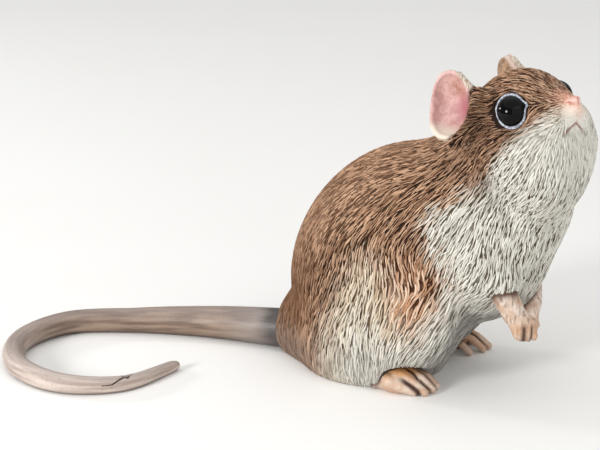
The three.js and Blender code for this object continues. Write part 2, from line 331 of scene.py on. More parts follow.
def settled(mass, p, rounds=3, step=0.95):
    # each point moved onto the skin of a mass
    for _ in range(rounds):
        p = p - mass(p)[:, None] * slope(mass, p) * step
    return p


# the lie of the coat: (x, z, degrees below straight back) on the flank, and the same on the
# side of the head in the head's own frame
lie = {
    "trunk": [
        (13, 49, 20), (3, 47, 34), (20, 47, 46), (-5, 38, 55), (3, 38, 54), (13, 39, 57), (22, 36, 61),
        (28, 29, 65), (35, 33, 78), (38, 29, 82), (-8, 27, 77), (6, 27, 90), (15, 26, 108), (3, 21, 77),
        (-1, 16, 69), (-13, 14, 95), (5, 10, 93), (14, 19, 83), (19, 21, 57), (19, 14, 55), (24, 17, 45),
    ],
    "head": [
        (8, 4, -6), (2, 7, -4), (-1, 5, -8), (-3, 0, 4), (-10, -1, 12), (7, -0.5, 10), (4, -1.5, 18),
        (-3, -3, 14), (5, -5, 30), (7, -9, 40), (8, -11.6, 46), (-2, -8.5, 25), (-9, -6.5, 31),
    ],
    "neckBase": (29, -3, 46),  # trunk below, head above, across this way
    "neckWay": (0.4, -0.14, 0.9),
    "neckWidth": 8,
    "blur": 3,
    "eyeReach": 1.6,  # how far round the bead the hair parts, and how much
    "eyeShare": 0.9,
}


def headShare(p):
    # 0 on the trunk, 1 on the head
    above = (p - np.array(lie["neckBase"])) @ np.array(lie["neckWay"])
    return smooth(above, 0, lie["neckWidth"])


def lieWay(places, p):
    # way of the hair on the flank or the side of the head, by how near each place is
    total = np.zeros(len(p))
    weights = np.zeros(len(p))
    for x, z, angle in places:
        weight = 1 / ((p[:, 0] - x) ** 2 + (p[:, 2] - z) ** 2 + lie["blur"]) ** 2
        total += weight * angle
        weights += weight
    angle = np.radians(total / weights)
    return np.stack([-np.cos(angle), 0 * angle, -np.sin(angle)], axis=-1)


def eyeCentre(side):
    x, y, z = head["eye"]
    return onHead(x, side * y, z)


def lieOfCoat(p, normal):
    # which way the hair lies at each point, along the skin
    share = headShare(p)[:, None]
    headWay = lieWay(lie["head"], toHead(p)) @ head["turn"].T
    way = lieWay(lie["trunk"], p) * (1 - share) + headWay * share
    for side in (1, -1):
        offset = eyeCentre(side) - p
        reach = np.linalg.norm(offset, axis=-1, keepdims=True)
        close = bell(reach - head["eyeRadius"], lie["eyeReach"])
        toEye = unit(offset - dot(offset, normal) * normal)
        way = way - close * dot(way, toEye) * toEye * lie["eyeShare"]
    return unit(way - dot(way, normal) * normal)


saddle = [  # lower edge of the brown on the flank, seen from the side, as x and z
    (31, 52), (27, 45), (20, 41.5), (19.3, 37), (20.6, 32), (23, 27.5), (22, 23.5), (17.5, 18),
    (13.4, 27), (9, 31), (5, 30), (2.2, 26.5), (-0.2, 20), (-3.4, 12), (-3.6, -1), (-30, -1),
    (-30, 70), (31, 70),
]
mask = [  # brown of the head, seen from its side
    (12, -0.1), (8, -1.6), (5.5, -2.3), (2.4, -3.0), (-1.3, -4.8), (-6.0, -7.4), (-9.5, -10.2),
    (-16, -13), (-30, -10), (-30, 20), (14, 20), (14, 1),
]
edges = {  # how far inside each outline the paint begins and is full
    "saddle": (-2.6, 1.8),
    "haunch": (-2.5, 2.2),  # added there, so that the edge is softer
    "mask": (-1.5, 1.3),
    "warm": (2.0, 4.5),  # a band just outside the brown: how far out and how wide
}
patches = {  # painted patches: share, place and reach, the same on both sides unless on the body
    "warm": [
        (0.35, "flank", (6, -17, 24), 8), (0.5, "flank", (14, -18, 20), 7),
        (0.6, "cheek", (10.5, -3, -1.2), 2.6),
    ],
    "orange": [
        (1, "flank", (17, -17, 25), 6.5), (0.5, "flank", (17, -17, 18), 3.5),
        (0.45, "cheek", (9.5, -2.5, 1.6), 2.6), (0.3, "cheek", (7.5, -2.5, 4.5), 3.5),
    ],
    # the grey belly patches: painted shade under the body
    "belly": [
        (1, "flank", (26, -7, 12), 8), (1, "flank", (22, -8, 5), 7), (0.7, "flank", (30, -4, 17), 6),
    ],
    # grey on the chest between the arms: painted shade
    "shadeBetweenArms": [(0.8, "body", (36.5, -3.5, 20.5), 3.2)],
    "pink": [(1, "cheek", (12.8, 0, 0.2), 2.6), (0.45, "cheek", (12.6, 0, -2.4), 1.6)],
    # darker paint behind the eye, and painted shade in the nape and neck creases
    "shade": [
        (0.8, "cheek", (-1.5, -9.5, 3.0), 3.8), (0.35, "cheek", (-12, -8, -1), 3.0),
        (0.15, "cheek", (-5, -10, -2), 4), (0.4, "cheek", (-7, -10, -8.5), 4),
        (0.3, "cheek", (2, -9, 6.5), 2.2),
    ],
    # less wash on the jaw and lower cheek: painted light on the underside of the head
    "thinnerWashAndLitJaw": [(0.8, "cheek", (9.5, -2, -9), 7), (0.35, "cheek", (6, -7, -5), 4.5)],
    # lighter paint on the jaw: painted light on the underside of the head
    "paintedLightOnJaw": [(0.6, "cheek", (10.3, -1.5, -9.5), 5.5)],
    "knee": [(1, "flank", (17, -17, 24), 6)],
}
muzzle = {"at": (13.2, 0, -3.0), "radii": (1, 1.4, 1.2), "bare": (1.4, 4.0)}
zones = {  # axis, where each zone begins and where it is full
    "haunch": (0, 16, 8),
    "hindPart": (0, 3, -9),
    "behind": (0, -2, -10),
    "rump": (0, -4, -13),
    "tailEnd": (0, -6, -15),
    "belowLoin": (2, 32, 18),
    "thighs": (2, 30, 22),
    "low": (2, 14, 6),
    "lower": (2, 12, 4),
    "atFloor": (2, 8, 0),
    "offFloor": (2, 8, 20),
    "aboveFloor": (2, 0, 2),
}
lessWash = {  # how much less wash is left in the cuts of each part
    "trunk": 0.08,
    "brownTrunk": -0.04,
    "back": 0.42,
    "rump": 0.5,
    "muzzle": 0.6,
    "behind": 0.3,
    "lower": 0.6,
    "belly": 0.55,
}


def insideOutline(outline, x, z):
    # distance inside (above zero) or outside (below zero) a closed outline
    nearest = np.full_like(x, 1e9)
    inside = np.zeros(x.shape, bool)
    for (x0, z0), (x1, z1) in zip(outline, outline[1:] + outline[:1]):
        dx, dz = x1 - x0, z1 - z0
        share = np.clip(((x - x0) * dx + (z - z0) * dz) / (dx * dx + dz * dz), 0, 1)
        nearest = np.minimum(nearest, np.hypot(x - x0 - share * dx, z - z0 - share * dz))
        crosses = (z0 > z) != (z1 > z)
        inside ^= crosses & (x < x0 + (z - z0) * dx / (dz if dz else 1e-9))
    return np.where(inside, nearest, -nearest)


def onRight(p):
    # the same places, with those of the left side mirrored to the right
    return np.stack([p[:, 0], -np.abs(p[:, 1]), p[:, 2]], axis=-1)


def patched(name, p):
    # the sum of a marking's patches at each point
    seen = {"body": p, "flank": onRight(p), "cheek": onRight(toHead(p))}
    total = 0
    for share, side, place, reach in patches[name]:
        total = total + share * bell(np.linalg.norm(seen[side] - np.array(place), axis=-1), reach)
    return total


def inZone(name, p):
    axis, start, full = zones[name]
    return smooth(p[:, axis], start, full)


def muzzleBare(p):
    # 1 on the smooth lips and nose, 0 where the coat begins
    away = np.linalg.norm((toHead(p) - np.array(muzzle["at"])) / np.array(muzzle["radii"]), axis=-1)
    return 1 - smooth(away, *muzzle["bare"])


def markings(p):
    # how much of each paint and of the dark wash lies at each point, from 0 to 1
    local = toHead(p)
    share = headShare(p)
    trunk = 1 - share
    inSaddle = insideOutline(saddle, p[:, 0], p[:, 2])
    haunch = inZone("haunch", p) * trunk
    start, full = [edge + soft * haunch for edge, soft in zip(edges["saddle"], edges["haunch"])]
    onMask = smooth(insideOutline(mask, local[:, 0], local[:, 2]), *edges["mask"])
    brown = smooth(inSaddle, start, full) * trunk + onMask * share
    rump = inZone("rump", p) * inZone("belowLoin", p)
    belly = patched("belly", p)
    bare = muzzleBare(p)
    parts = {
        "trunk": trunk,
        "brownTrunk": brown * trunk,
        "back": smooth(p[:, 2] - p[:, 0], 24, 44) * trunk,
        "rump": rump,
        "muzzle": bare,
        "behind": inZone("behind", p) * trunk,
        "lower": inZone("lower", p),
        "belly": np.clip(belly, 0, 1),
    }
    # the patches on the jaw and lower cheek thin the wash there as painted light
    thinnerWashAndLitJaw = sum(lessWash[name] * part for name, part in parts.items()) + patched("thinnerWashAndLitJaw", p)
    outside, width = edges["warm"]
    marks = {
        "brown": brown,
        "warm": patched("warm", p) + 0.6 * bell(inSaddle + outside, width) * haunch,
        "orange": patched("orange", p),
        "rust": 0.9 * rump,
        # grey on the belly, between the arms and darker towards the bottom of the trunk: painted shade
        # under the body
        "grey": np.minimum(belly + 0.3 * inZone("low", p) + patched("shadeBetweenArms", p), 1) * trunk,
        "pink": patched("pink", p),
        # darker paint behind the eye, painted shade in the neck creases and towards the back of the trunk
        "shade": patched("shade", p) + 0.3 * inZone("hindPart", p) * trunk * inZone("offFloor", p),
        "wash": np.maximum(1 - thinnerWashAndLitJaw, 0.15),
        "bare": bare,
    }
    return {name: np.clip(values, 0, 1) for name, values in marks.items()}


def paleLipsAndLitJaw(p):
    # 1 on the lips, whose paint is lightest, and about half on the jaw, lightened there as painted light
    return np.clip(muzzleBare(p) + patched("paintedLightOnJaw", p), 0, 1)


lockSizes = {  # width, length and height of the carved locks
    "trunk": (0.5, 3.35, 0.27),
    "thighs": (0.05, 0.7, 0.05),  # the thighs, knee and back add this to the trunk's
    "knee": (0.42, 1.4, 0.22),
    "back": (-0.06, -1.0, -0.10),
    "nose": (0.25, 1.2, 0.05),
    "face": (0.07, 1.4, 0.14),  # added away from the nose
    "jaw": (0.45, 2.7, 0.20),
    "lips": (-0.45, -0.6, -0.8),  # a share of the size
}


def lockSize(p):
    # width, length and height of a lock at each point
    size = {name: np.array(value) for name, value in lockSizes.items()}
    local = toHead(p)
    face = smooth(np.linalg.norm(local - np.array([12.7, 0, -2]), axis=-1), 3, 12)
    upper = smooth(local[:, 2], -10, -2)
    back = smooth(p[:, 2] - p[:, 0], 26, 40)
    lower = (1 - 0.55 * inZone("atFloor", p)) * (1 - 0.4 * inZone("tailEnd", p))
    places = [face, upper, back, lower, inZone("thighs", p), patched("knee", p), headShare(p)]
    face, upper, back, lower, thighs, knee, share = [values[:, None] for values in places]
    ofHead = (size["nose"] + size["face"] * face) * upper + size["jaw"] * (1 - upper)
    ofTrunk = size["trunk"] + size["thighs"] * thighs + size["knee"] * knee + size["back"] * back
    ofTrunk[:, 2:] *= lower
    lips = 1 + size["lips"] * muzzleBare(p)[:, None]
    return ((ofTrunk * (1 - share) + ofHead * share) * lips).T


tailRoot = {"x": -19.7, "edge": 1.6}  # the skin ends here


def skinDepth(p):
    # how far the skin lies inside the coat
    return 0.85 * lockSize(p)[2] * inZone("aboveFloor", p)


def skinMass(p):
    return softMax(whole(p) + skinDepth(p), tailRoot["x"] - p[:, 0], tailRoot["edge"])


def colourOf(code):
    # sRGB hex to linear
    parts = [int(code[i : i + 2], 16) / 255 for i in (1, 3, 5)]
    return tuple(c / 12.92 if c <= 0.04045 else ((c + 0.055) / 1.055) ** 2.4 for c in parts) + (1.0,)


def addMesh(name, verts, faces, layers=None, uv=None):
    # a smooth mesh riding on the figure, with named values at its points
    verts = np.asarray(verts, float)
    faces = np.asarray(faces, int)
    mesh = bpy.data.meshes.new(name)
    count, sides = faces.shape
    mesh.vertices.add(len(verts))
    mesh.vertices.foreach_set("co", (verts * mm).astype(np.float32).ravel())
    mesh.loops.add(count * sides)
    mesh.loops.foreach_set("vertex_index", faces.astype(np.int32).ravel())
    mesh.polygons.add(count)
    mesh.polygons.foreach_set("loop_start", np.arange(0, count * sides, sides, dtype=np.int32))
    mesh.update(calc_edges=True)
    mesh.polygons.foreach_set("use_smooth", np.ones(count, bool))
    for key, values in (layers or {}).items():
        layer = mesh.attributes.new(key, "FLOAT", "POINT")
        layer.data.foreach_set("value", np.asarray(values, np.float32))
    if uv is not None:
        mesh.uv_layers.new(name="OFBake").data.foreach_set("uv", np.asarray(uv, np.float32).ravel())
    mesh.validate()
    piece = bpy.data.objects.new(name, mesh)
    bpy.context.scene.collection.objects.link(piece)
    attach(piece, "root")
    return piece


def skinOf(mass, low, high, pitch, finer=None):
    # a closed mesh of a mass, finer round one place if asked for
    low, high = np.array(low, float), np.array(high, float)
    counts = np.ceil((high - low) / pitch).astype(int) + 1

    def eased(q):
        if finer is None:
            return q
        offset = q - np.array(finer["at"])
        reach = np.linalg.norm(offset, axis=-1, keepdims=True)
        return np.array(finer["at"]) + offset * (1 - finer["share"] * bell(reach, finer["reach"]))

    values = np.empty(counts, np.float32)
    ys, zs = np.meshgrid(np.arange(counts[1]), np.arange(counts[2]), indexing="ij")
    for i in range(counts[0]):
        q = low + pitch * np.stack([np.full(ys.size, i), ys.ravel(), zs.ravel()], axis=-1)
        values[i] = mass(eased(q)).reshape(counts[1:])
    grid = openvdb.FloatGrid(background=float(pitch * 3))
    grid.copyFromArray(values)
    points, quads = grid.convertToQuads(isovalue=0.0)
    return eased(low + pitch * points), quads


# skin: one closed form for trunk, neck, head, thighs and upper arms, finer on the face
skinShape = {
    "low": (-22, -21, -1.2),
    "high": (54, 21, 73),
    "pitch": 0.45,
    "finer": {"at": onHead(9, 0, -2.5), "share": 0.58, "reach": 15},
    "mouth": [  # the lip line on the head, from its right end over its peak to its left end
        (11.45, -4.84, -5.69), (12.0, -3.67, -5.16), (12.18, -2.44, -4.79),
        (11.98, -0.78, -4.47), (11.54, 0.12, -5.08), (11.25, 0.9, -6.0),
    ],
    "mouthDepth": 0.34,
    "mouthWidth": 0.24,
    "lipWidth": 0.22,
}
mouth = toHead(settled(skinMass, np.array([onHead(*spot) for spot in skinShape["mouth"]])))


def mouthGap(p):
    # distance from the lip line
    local = toHead(p)
    nearest = np.full(len(p), 1e9)
    for start, end in zip(mouth, mouth[1:]):
        along = end - start
        share = np.clip((local - start) @ along / (along @ along), 0, 1)
        nearest = np.minimum(nearest, np.linalg.norm(local - start - share[:, None] * along, axis=-1))
    return nearest


chart = {  # the unwrap: six views of the body and six of the head, laid out in rows
    "scale": 0.0058,  # share of the map for each millimetre
    "left": 0.01,
    "gap": 0.012,
    "corner": {"body": np.array([-20.5, -18.8, 0.0]), "head": np.array([14.0, -21.0, 40.0])},
    "rows": [  # top, then part, axis, side and width of each chart
        (0.010, [("body", 1, -1, 66), ("body", 1, 1, 66), ("body", 0, -1, 38)]),
        (0.330, [("body", 0, 1, 38), ("body", 2, 1, 66), ("body", 2, -1, 66)]),
        (0.650, [("head", axis, -1, 32) for axis in range(3)]),
        (0.825, [("head", axis, 1, 32) for axis in range(3)]),
    ],
}


def unwrapped(p, normal, share):
    # place on the unwrap of each point, by the way its skin faces
    axis = np.argmax(np.abs(normal), axis=-1)
    side = np.sign(normal[np.arange(len(p)), axis])
    uv = np.zeros((len(p), 2))
    for top, row in chart["rows"]:
        left = chart["left"]
        for part, chartAxis, chartSide, width in row:
            here = (axis == chartAxis) & (side == chartSide) & ((share > 0.5) == (part == "head"))
            flat = np.delete(p[here] - chart["corner"][part], chartAxis, axis=1)
            uv[here] = np.array([left, top]) + flat * chart["scale"]
            left += width * chart["scale"] + chart["gap"]
    return uv


points, quads = skinOf(
    skinMass, skinShape["low"], skinShape["high"], skinShape["pitch"], skinShape["finer"]
)
points = settled(skinMass, points)
fromMouth = mouthGap(points)
mouthCut = skinShape["mouthDepth"] * bell(fromMouth, skinShape["mouthWidth"])
points = points - slope(skinMass, points) * mouthCut[:, None]
points[:, 2] = np.maximum(points[:, 2], 0)
corners = points[quads]
faceNormals = np.cross(corners[:, 2] - corners[:, 0], corners[:, 3] - corners[:, 1])
faceAreas = np.linalg.norm(faceNormals, axis=-1) / 2
faceNormals = unit(faceNormals)
faceShare = headShare(corners.mean(axis=1))
skinUv = unwrapped(corners.reshape(-1, 3), np.repeat(faceNormals, 4, axis=0), np.repeat(faceShare, 4))
marks = markings(points)
marks["crest"] = 0.26 - 0.18 * marks["brown"] + 0.7 * marks["bare"] + 0.25 * marks["orange"]
# lighter tint on the lips as their own paint, and on the jaw as painted light
marks["tint"] = 0.4 + 0.6 * paleLipsAndLitJaw(points)
marks["lips"] = bell(fromMouth, skinShape["lipWidth"])
skin = addMesh("skin", points, quads, marks, skinUv)
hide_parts("trunk", "neck", "head", "foreleg_left", "foreleg_right", "hindleg_left", "hindleg_right")
print("skin", len(quads), "faces")


def earFold(which):
    return links([onEar(which, place) for place in ears["fold"]], ears["foldRadii"])


def earReach(q, inset=1):
    # 1 on the outline of the cup, seen from its front
    flat = np.abs(q[..., 1:] / (np.array(ears["radii"][1:]) * inset))
    return np.sum(flat ** ears["power"], axis=-1) ** (1 / ears["power"])


def earMass(which):
    middle = np.array([0, *ears["centre"]])
    edge = ears["edge"]
    deep, wide, tall = ears["radii"]
    hollow = (deep, wide - ears["wall"], tall - ears["wall"])
    folds = earFold(which)

    def mass(p):
        q = inEar(which, p) - middle
        cup = plainBall(q + [1, 0, 0], ears["radii"], ears["power"])
        inner = plainBall(q - [ears["hollowForward"] - 1, 0, 0], hollow, ears["power"])
        cup = softMax(softMax(cup, -inner, edge), q[..., 0] - edge, edge)
        fromRim = (earReach(q, ears["rimInset"]) - 1) * ears["rimSpan"]
        total = softMin(cup, np.hypot(fromRim, q[..., 0] - ears["rimForward"]) - ears["rim"], edge)
        for fold in folds:
            total = softMin(total, fold(p), ears["foldBlend"])
        return total

    return mass


# coat: carved locks that lie along the body, root under the skin, tip just proud of it
coat = {
    "candidates": 170000,
    "sections": (0.0, 0.12, 0.32, 0.56, 0.80, 1.0),
    "widths": (0.12, 0.70, 1.0, 0.88, 0.52, 0.05),
    "heights": (-0.3, 0.50, 1.0, 0.95, 0.66, 0.10),
    "ring": ((-1, -0.35), (-0.55, 0.72), (0, 1), (0.55, 0.72), (1, -0.35), (0, -0.6)),
    "crests": (  # paint across the ring at each section: 0 in the cut beside the lock, 1 on its ridge
        (0.3, 0.5, 0.8, 0.8, 0.4, 0), (0.0, 0.25, 1, 0.9, 0.3, 0), (0.0, 0.0, 1, 1, 0.3, 0),
        (0.0, 0.0, 1, 1, 0.3, 0), (0.1, 0.4, 1, 1, 0.5, 0), (0.5, 0.7, 0.9, 0.9, 0.6, 0),
    ),
    "tipLift": (0, 0, 0.1, 0.4, 0.8, 1.1),  # where the coat is ruffled
    "widthSpread": (0.8, 1.25),
    "lengthSpread": (0.75, 1.3),
    "heightSpread": (0.7, 1.2),
    "fan": (6, 5),  # turn of each lock in degrees, and how much more where it is ruffled
    "bow": (0.09, 0.45),
    "wave": 0.05,
    "markSpread": 0.9,  # the edges of the markings are broken up by this
    "deepShare": 0.55,
    "acrossShare": 0.62,  # room of a lock, as shares of its width and length
    "alongShare": 0.40,
    "floor": 0.15,
    "patch": 0.0028,  # a lock's place on the unwrap
}
bareSkin = {  # no lock has its root here
    "underneath": 0.7,
    "tailRoot": -18.9,
    "muzzle": 0.9,
    "lips": 0.42,
    "bead": 3.85,
    "ear": 0.1,
    "overLips": 0.3,  # nor does one lie over the lips
}


def rootless(p, faceNormal):
    # where the skin stays bare
    bare = (p[:, 2] < bareSkin["underneath"]) & (faceNormal[:, 2] < -0.5)
    bare |= (p[:, 0] < bareSkin["tailRoot"]) & (faceNormal[:, 0] < -0.8)
    bare |= muzzleBare(p) > bareSkin["muzzle"]
    bare |= mouthGap(p) < bareSkin["lips"]
    for side in (1, -1):
        bare |= np.linalg.norm(p - eyeCentre(side), axis=-1) < bareSkin["bead"]
    for which in ("left", "right"):
        bare |= earMass(which)(p) < bareSkin["ear"]
    return bare


def coatRoots():
    # roots spread evenly over the skin, each with room for its lock
    chosen = rng.choice(len(quads), coat["candidates"], p=faceAreas / faceAreas.sum())
    a, b, c, d = corners[chosen].transpose(1, 0, 2)
    s, t = rng.random((2, len(chosen), 1))
    p = (a * (1 - s) + b * s) * (1 - t) + (d * (1 - s) + c * s) * t
    p = p[~rootless(p, faceNormals[chosen])]
    normal = slope(whole, p)
    way = lieOfCoat(p, normal)
    width, length, _ = lockSize(p)
    reaches = [mouthGap(p + way * (length * share)[:, None]) for share in (0.25, 0.5, 0.75, 1.0)]
    clear = np.min(reaches, axis=0) >= bareSkin["overLips"]
    p, normal, way = p[clear], normal[clear], way[clear]
    across = np.cross(normal, way)
    width, length = width[clear] * coat["acrossShare"], length[clear] * coat["alongShare"]
    tree = kdtree.KDTree(len(p))
    for i, place in enumerate(p):
        tree.insert(place, i)
    tree.balance()
    free = np.ones(len(p), bool)
    kept = []
    for i in range(len(p)):
        if not free[i]:
            continue
        kept.append(i)
        others = np.array([j for _, j, _ in tree.find_range(p[i], length[i])])
        offset = p[others] - p[i]
        crowd = (offset @ across[i] / width[i]) ** 2 + (offset @ way[i] / length[i]) ** 2
        free[others[crowd < 1]] = False
    return p[kept], normal[kept]


def lockSpines(root, normal, length, spread):
    # the line of each lock, laid down along the skin step by step, and the skin's way out under it
    spine, normals = [root], [normal]
    at = root
    sections = coat["sections"]
    for before, after in zip(sections, sections[1:]):
        way = lieOfCoat(at, normals[-1])
        side = np.cross(normals[-1], way)
        way = way * np.cos(spread)[:, None] + side * np.sin(spread)[:, None]
        at = at + way * ((after - before) * length)[:, None]
        at[:, 2] = np.maximum(at[:, 2], coat["floor"])
        at = settled(skinMass, at, 1)
        at[:, 2] = np.maximum(at[:, 2], coat["floor"])
        spine.append(at)
        normals.append(slope(whole, at))
    return np.stack(spine, axis=1), np.stack(normals, axis=1)


def coatLocks(root, normal):
    # vertex places, crests and shares along each lock, as arrays of lock x section x ring
    count = len(root)
    width, length, height = lockSize(root)
    width = width * rng.uniform(*coat["widthSpread"], count)
    length = length * rng.uniform(*coat["lengthSpread"], count)
    height = height * rng.uniform(*coat["heightSpread"], count)
    loose = patched("knee", root)  # the ruffled patch over the knee
    fan, bow = [least + more * loose for least, more in (coat["fan"], coat["bow"])]
    spread = np.radians(rng.normal(0, 1, count) * fan)
    bow = rng.normal(0, 1, count) * bow
    spine, normals = lockSpines(root, normal, length, spread)
    sides = unit(np.cross(normals, np.gradient(spine, axis=1)))
    share = np.array(coat["sections"])
    wave = rng.normal(0, coat["wave"], count)[:, None] * np.sin(share * 6.3)
    spine = spine + sides * (bow[:, None] * 4 * share * (1 - share) + wave)[..., None]
    halfWidth = width[:, None] / 2 * np.array(coat["widths"])
    lift = height[:, None] * np.array(coat["heights"])
    lift = lift + (height * loose * 0.8)[:, None] * np.array(coat["tipLift"])
    ring = np.array(coat["ring"])
    verts = spine[:, :, None] + sides[:, :, None] * (halfWidth[..., None] * ring[:, 0])[..., None]
    rise = np.where(ring[:, 1] > 0, lift[..., None] * ring[:, 1], height[:, None, None] * ring[:, 1])
    verts = verts + normals[:, :, None] * rise[..., None]
    verts[..., 2] = np.maximum(verts[..., 2], 0)
    flipped = rng.random(count) < 0.5
    crests = np.array(coat["crests"])
    crests = np.where(flipped[:, None, None], crests[:, [4, 3, 2, 1, 0, 5]], crests)
    deep = np.where(rng.random(count) < coat["deepShare"] + 0.4 * markings(root)["brown"], 1.0, 0.45)
    crests = 1 - (1 - crests) * deep[:, None, None]
    return verts, crests, np.broadcast_to(share[:, None], verts.shape[1:3])


def lockFaces(sections, ring):
    # quads down the sides and a fan of quads over each end
    faces = []
    for i in range(sections - 1):
        for j in range(ring):
            k = (j + 1) % ring
            faces.append((i * ring + j, i * ring + k, (i + 1) * ring + k, (i + 1) * ring + j))
    last = (sections - 1) * ring
    for base, order in ((0, -1), (last, 1)):
        faces.append(tuple((base, base + 1, base + 2, base + 5)[::order]))
        faces.append(tuple((base + 2, base + 3, base + 4, base + 5)[::order]))
    return np.array(faces)


def coatRegion(p):
    # which piece of the coat each lock belongs to, counted through its parts and sides
    ofHead = headShare(p) > 0.5
    crown = toHead(p)[:, 2] > -3.5
    left = p[:, 1] > np.where(ofHead, head["at"][1], 0)
    return np.where(ofHead, np.where(crown, 0, 2), np.where(p[:, 2] > 30, 4, 6)) + left


coatParts = ("coat_head", "coat_cheek", "coat_back", "coat_flank")
coatNames = [part + side for part in coatParts for side in ("_right", "_left")]
roots, rootNormals = coatRoots()
verts, crests, alongs = coatLocks(roots, rootNormals)
strayed = rng.normal(0, coat["markSpread"], roots.shape) * (1 - 0.5 * headShare(roots))[:, None]
rootMarks = markings(roots + strayed)
tints = rng.random(len(roots))
# lighter tint on the lips as their own paint, and on the jaw as painted light
tints = tints + (1 - tints) * 0.8 * paleLipsAndLitJaw(roots)
rootUv = unwrapped(roots, rootNormals, headShare(roots))
perLock = verts.shape[1] * verts.shape[2]
pattern = lockFaces(verts.shape[1], verts.shape[2])
regions = coatRegion(roots)
ringPlace = np.array(coat["ring"])[:, 0] / 2
coatPieces = []
for index, name in enumerate(coatNames):
    here = regions == index
    count = int(here.sum())
    faces = (np.arange(count)[:, None, None] * perLock + pattern).reshape(-1, 4)
    layers = {key: np.repeat(values[here], perLock) for key, values in rootMarks.items()}
    layers["crest"] = crests[here].ravel()
    layers["tint"] = np.repeat(tints[here], perLock)
    layers["lips"] = np.zeros(count * perLock)
    patch = np.stack(np.broadcast_arrays(ringPlace[None, :], alongs - 0.5), axis=-1).reshape(-1, 2)
    uv = (rootUv[here][:, None] + patch * coat["patch"]).reshape(-1, 2)
    piece = addMesh(name, verts[here].reshape(-1, 3), faces, layers, uv[faces.ravel()])
    coatPieces.append(piece)
    print(name, count, "locks", len(faces) * 2, "triangles")

# eyes: polished black beads with a painted lid round each
eyes = {
    "outward": (0.45, 0.87, 0.19),
    "rings": 24,
    "around": 48,
    "lidIn": 2.68,  # half length of the opening, then its half height above and below
    "lidUp": 3.05,
    "lidDown": 3.17,
    "lidWidth": 0.3,
    "lidProud": 0.16,
    "lidAround": 96,
    "lidSection": 10,
    "corner": 0.6,
    "cornerAt": 0.14,
    "cornerReach": 0.28,
    "waves": ((0.13, 7, 1), (0.11, 12, 0), (0.1, 19, 2)),  # unevenness of the painted lid
}


def gridFaces(rows, around, order=1, closed=False):
    # quads between rows of points; the last row joins the first if closed
    i, j = np.meshgrid(np.arange(rows if closed else rows - 1), np.arange(around), indexing="ij")
    n, k = (i + 1) % rows, (j + 1) % around
    faces = np.stack([i * around + j, n * around + j, n * around + k, i * around + k], axis=-1)
    return faces.reshape(-1, 4)[:, ::order]


def eyeFrame(side):
    at = eyeCentre(side)
    x, y, z = eyes["outward"]
    onSurface = settled(whole, at[None] + head["turn"] @ np.array([x, side * y, z]) * 3)
    outward = unit(slope(whole, onSurface)[0])
    forward = head["turn"] @ np.array([1.0, 0, 0])
    forward = unit(forward - (forward @ outward) * outward)
    upward = np.cross(outward, forward) * side * -1
    if upward @ head["turn"][:, 2] < 0:
        upward = -upward
    return at, outward, forward, upward


def makeEye(name, side):
    at, outward, forward, upward = eyeFrame(side)
    verts = []
    for i in range(eyes["rings"] + 1):
        polar = math.pi * i / eyes["rings"]
        for j in range(eyes["around"]):
            turn = 2 * math.pi * j / eyes["around"]
            ray = forward * math.cos(turn) + upward * math.sin(turn)
            way = outward * math.cos(polar) + ray * math.sin(polar)
            verts.append(at + way * head["eyeRadius"])
    eye = addMesh("bead_" + name, verts, gridFaces(eyes["rings"] + 1, eyes["around"], -side))
    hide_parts(name)
    return eye


def makeLid(name, side):
    # a rounded ridge round the bead, drawn out to a corner in front
    at, outward, forward, upward = eyeFrame(side)
    around, section = eyes["lidAround"], eyes["lidSection"]
    bases, prouds, tone = [], [], []
    for j in range(around):
        turn = 2 * math.pi * j / around
        fromCorner = (turn - eyes["cornerAt"] + math.pi) % (2 * math.pi) - math.pi
        corner = eyes["corner"] * bell(fromCorner, eyes["cornerReach"])
        tall = eyes["lidUp"] if turn < math.pi else eyes["lidDown"]
        inner = 1 / math.hypot(math.cos(turn) / eyes["lidIn"], math.sin(turn) / tall) + 0.55 * corner
        uneven = sum(size * math.sin(count * turn + start) for size, count, start in eyes["waves"])
        width = eyes["lidWidth"] * (1.1 + 1.2 * math.sin(turn) ** 2 + uneven) + 0.35 * corner
        ray = forward * math.cos(turn) + upward * math.sin(turn)
        base = math.sqrt(max(head["eyeRadius"] ** 2 - min(inner, 3.2) ** 2, 0.1))  # on the bead
        for k in range(section):
            bend = 2 * math.pi * k / section
            across = width / 2 * (1 - math.cos(bend))
            bases.append(at + ray * (inner + across) + outward * (base - 0.62 * across))
            prouds.append(eyes["lidProud"] * math.sin(bend))
            # tone is 1 on the pale inner edge and 0 on the outer edge, where the painted shadow lies
            tone.append(1 - across / width)
    verts = np.array(bases)
    buried = np.maximum(-whole(verts), 0)  # where the skin would hide the lid, it lies on the skin
    verts = verts + outward * (buried + prouds)[:, None]
    lid = addMesh(name, verts, gridFaces(around, section, -side, closed=True), {"tone": tone})
    return lid


eyePieces = [makeEye("eye_left", 1), makeEye("eye_right", -1)]
lidPieces = [makeLid("lid_left", 1), makeLid("lid_right", -1)]
print("eyes")


def closeTo(gap, reach):
    # 1 where a piece touches, fading over the reach
    return bell(np.maximum(gap, 0), reach)


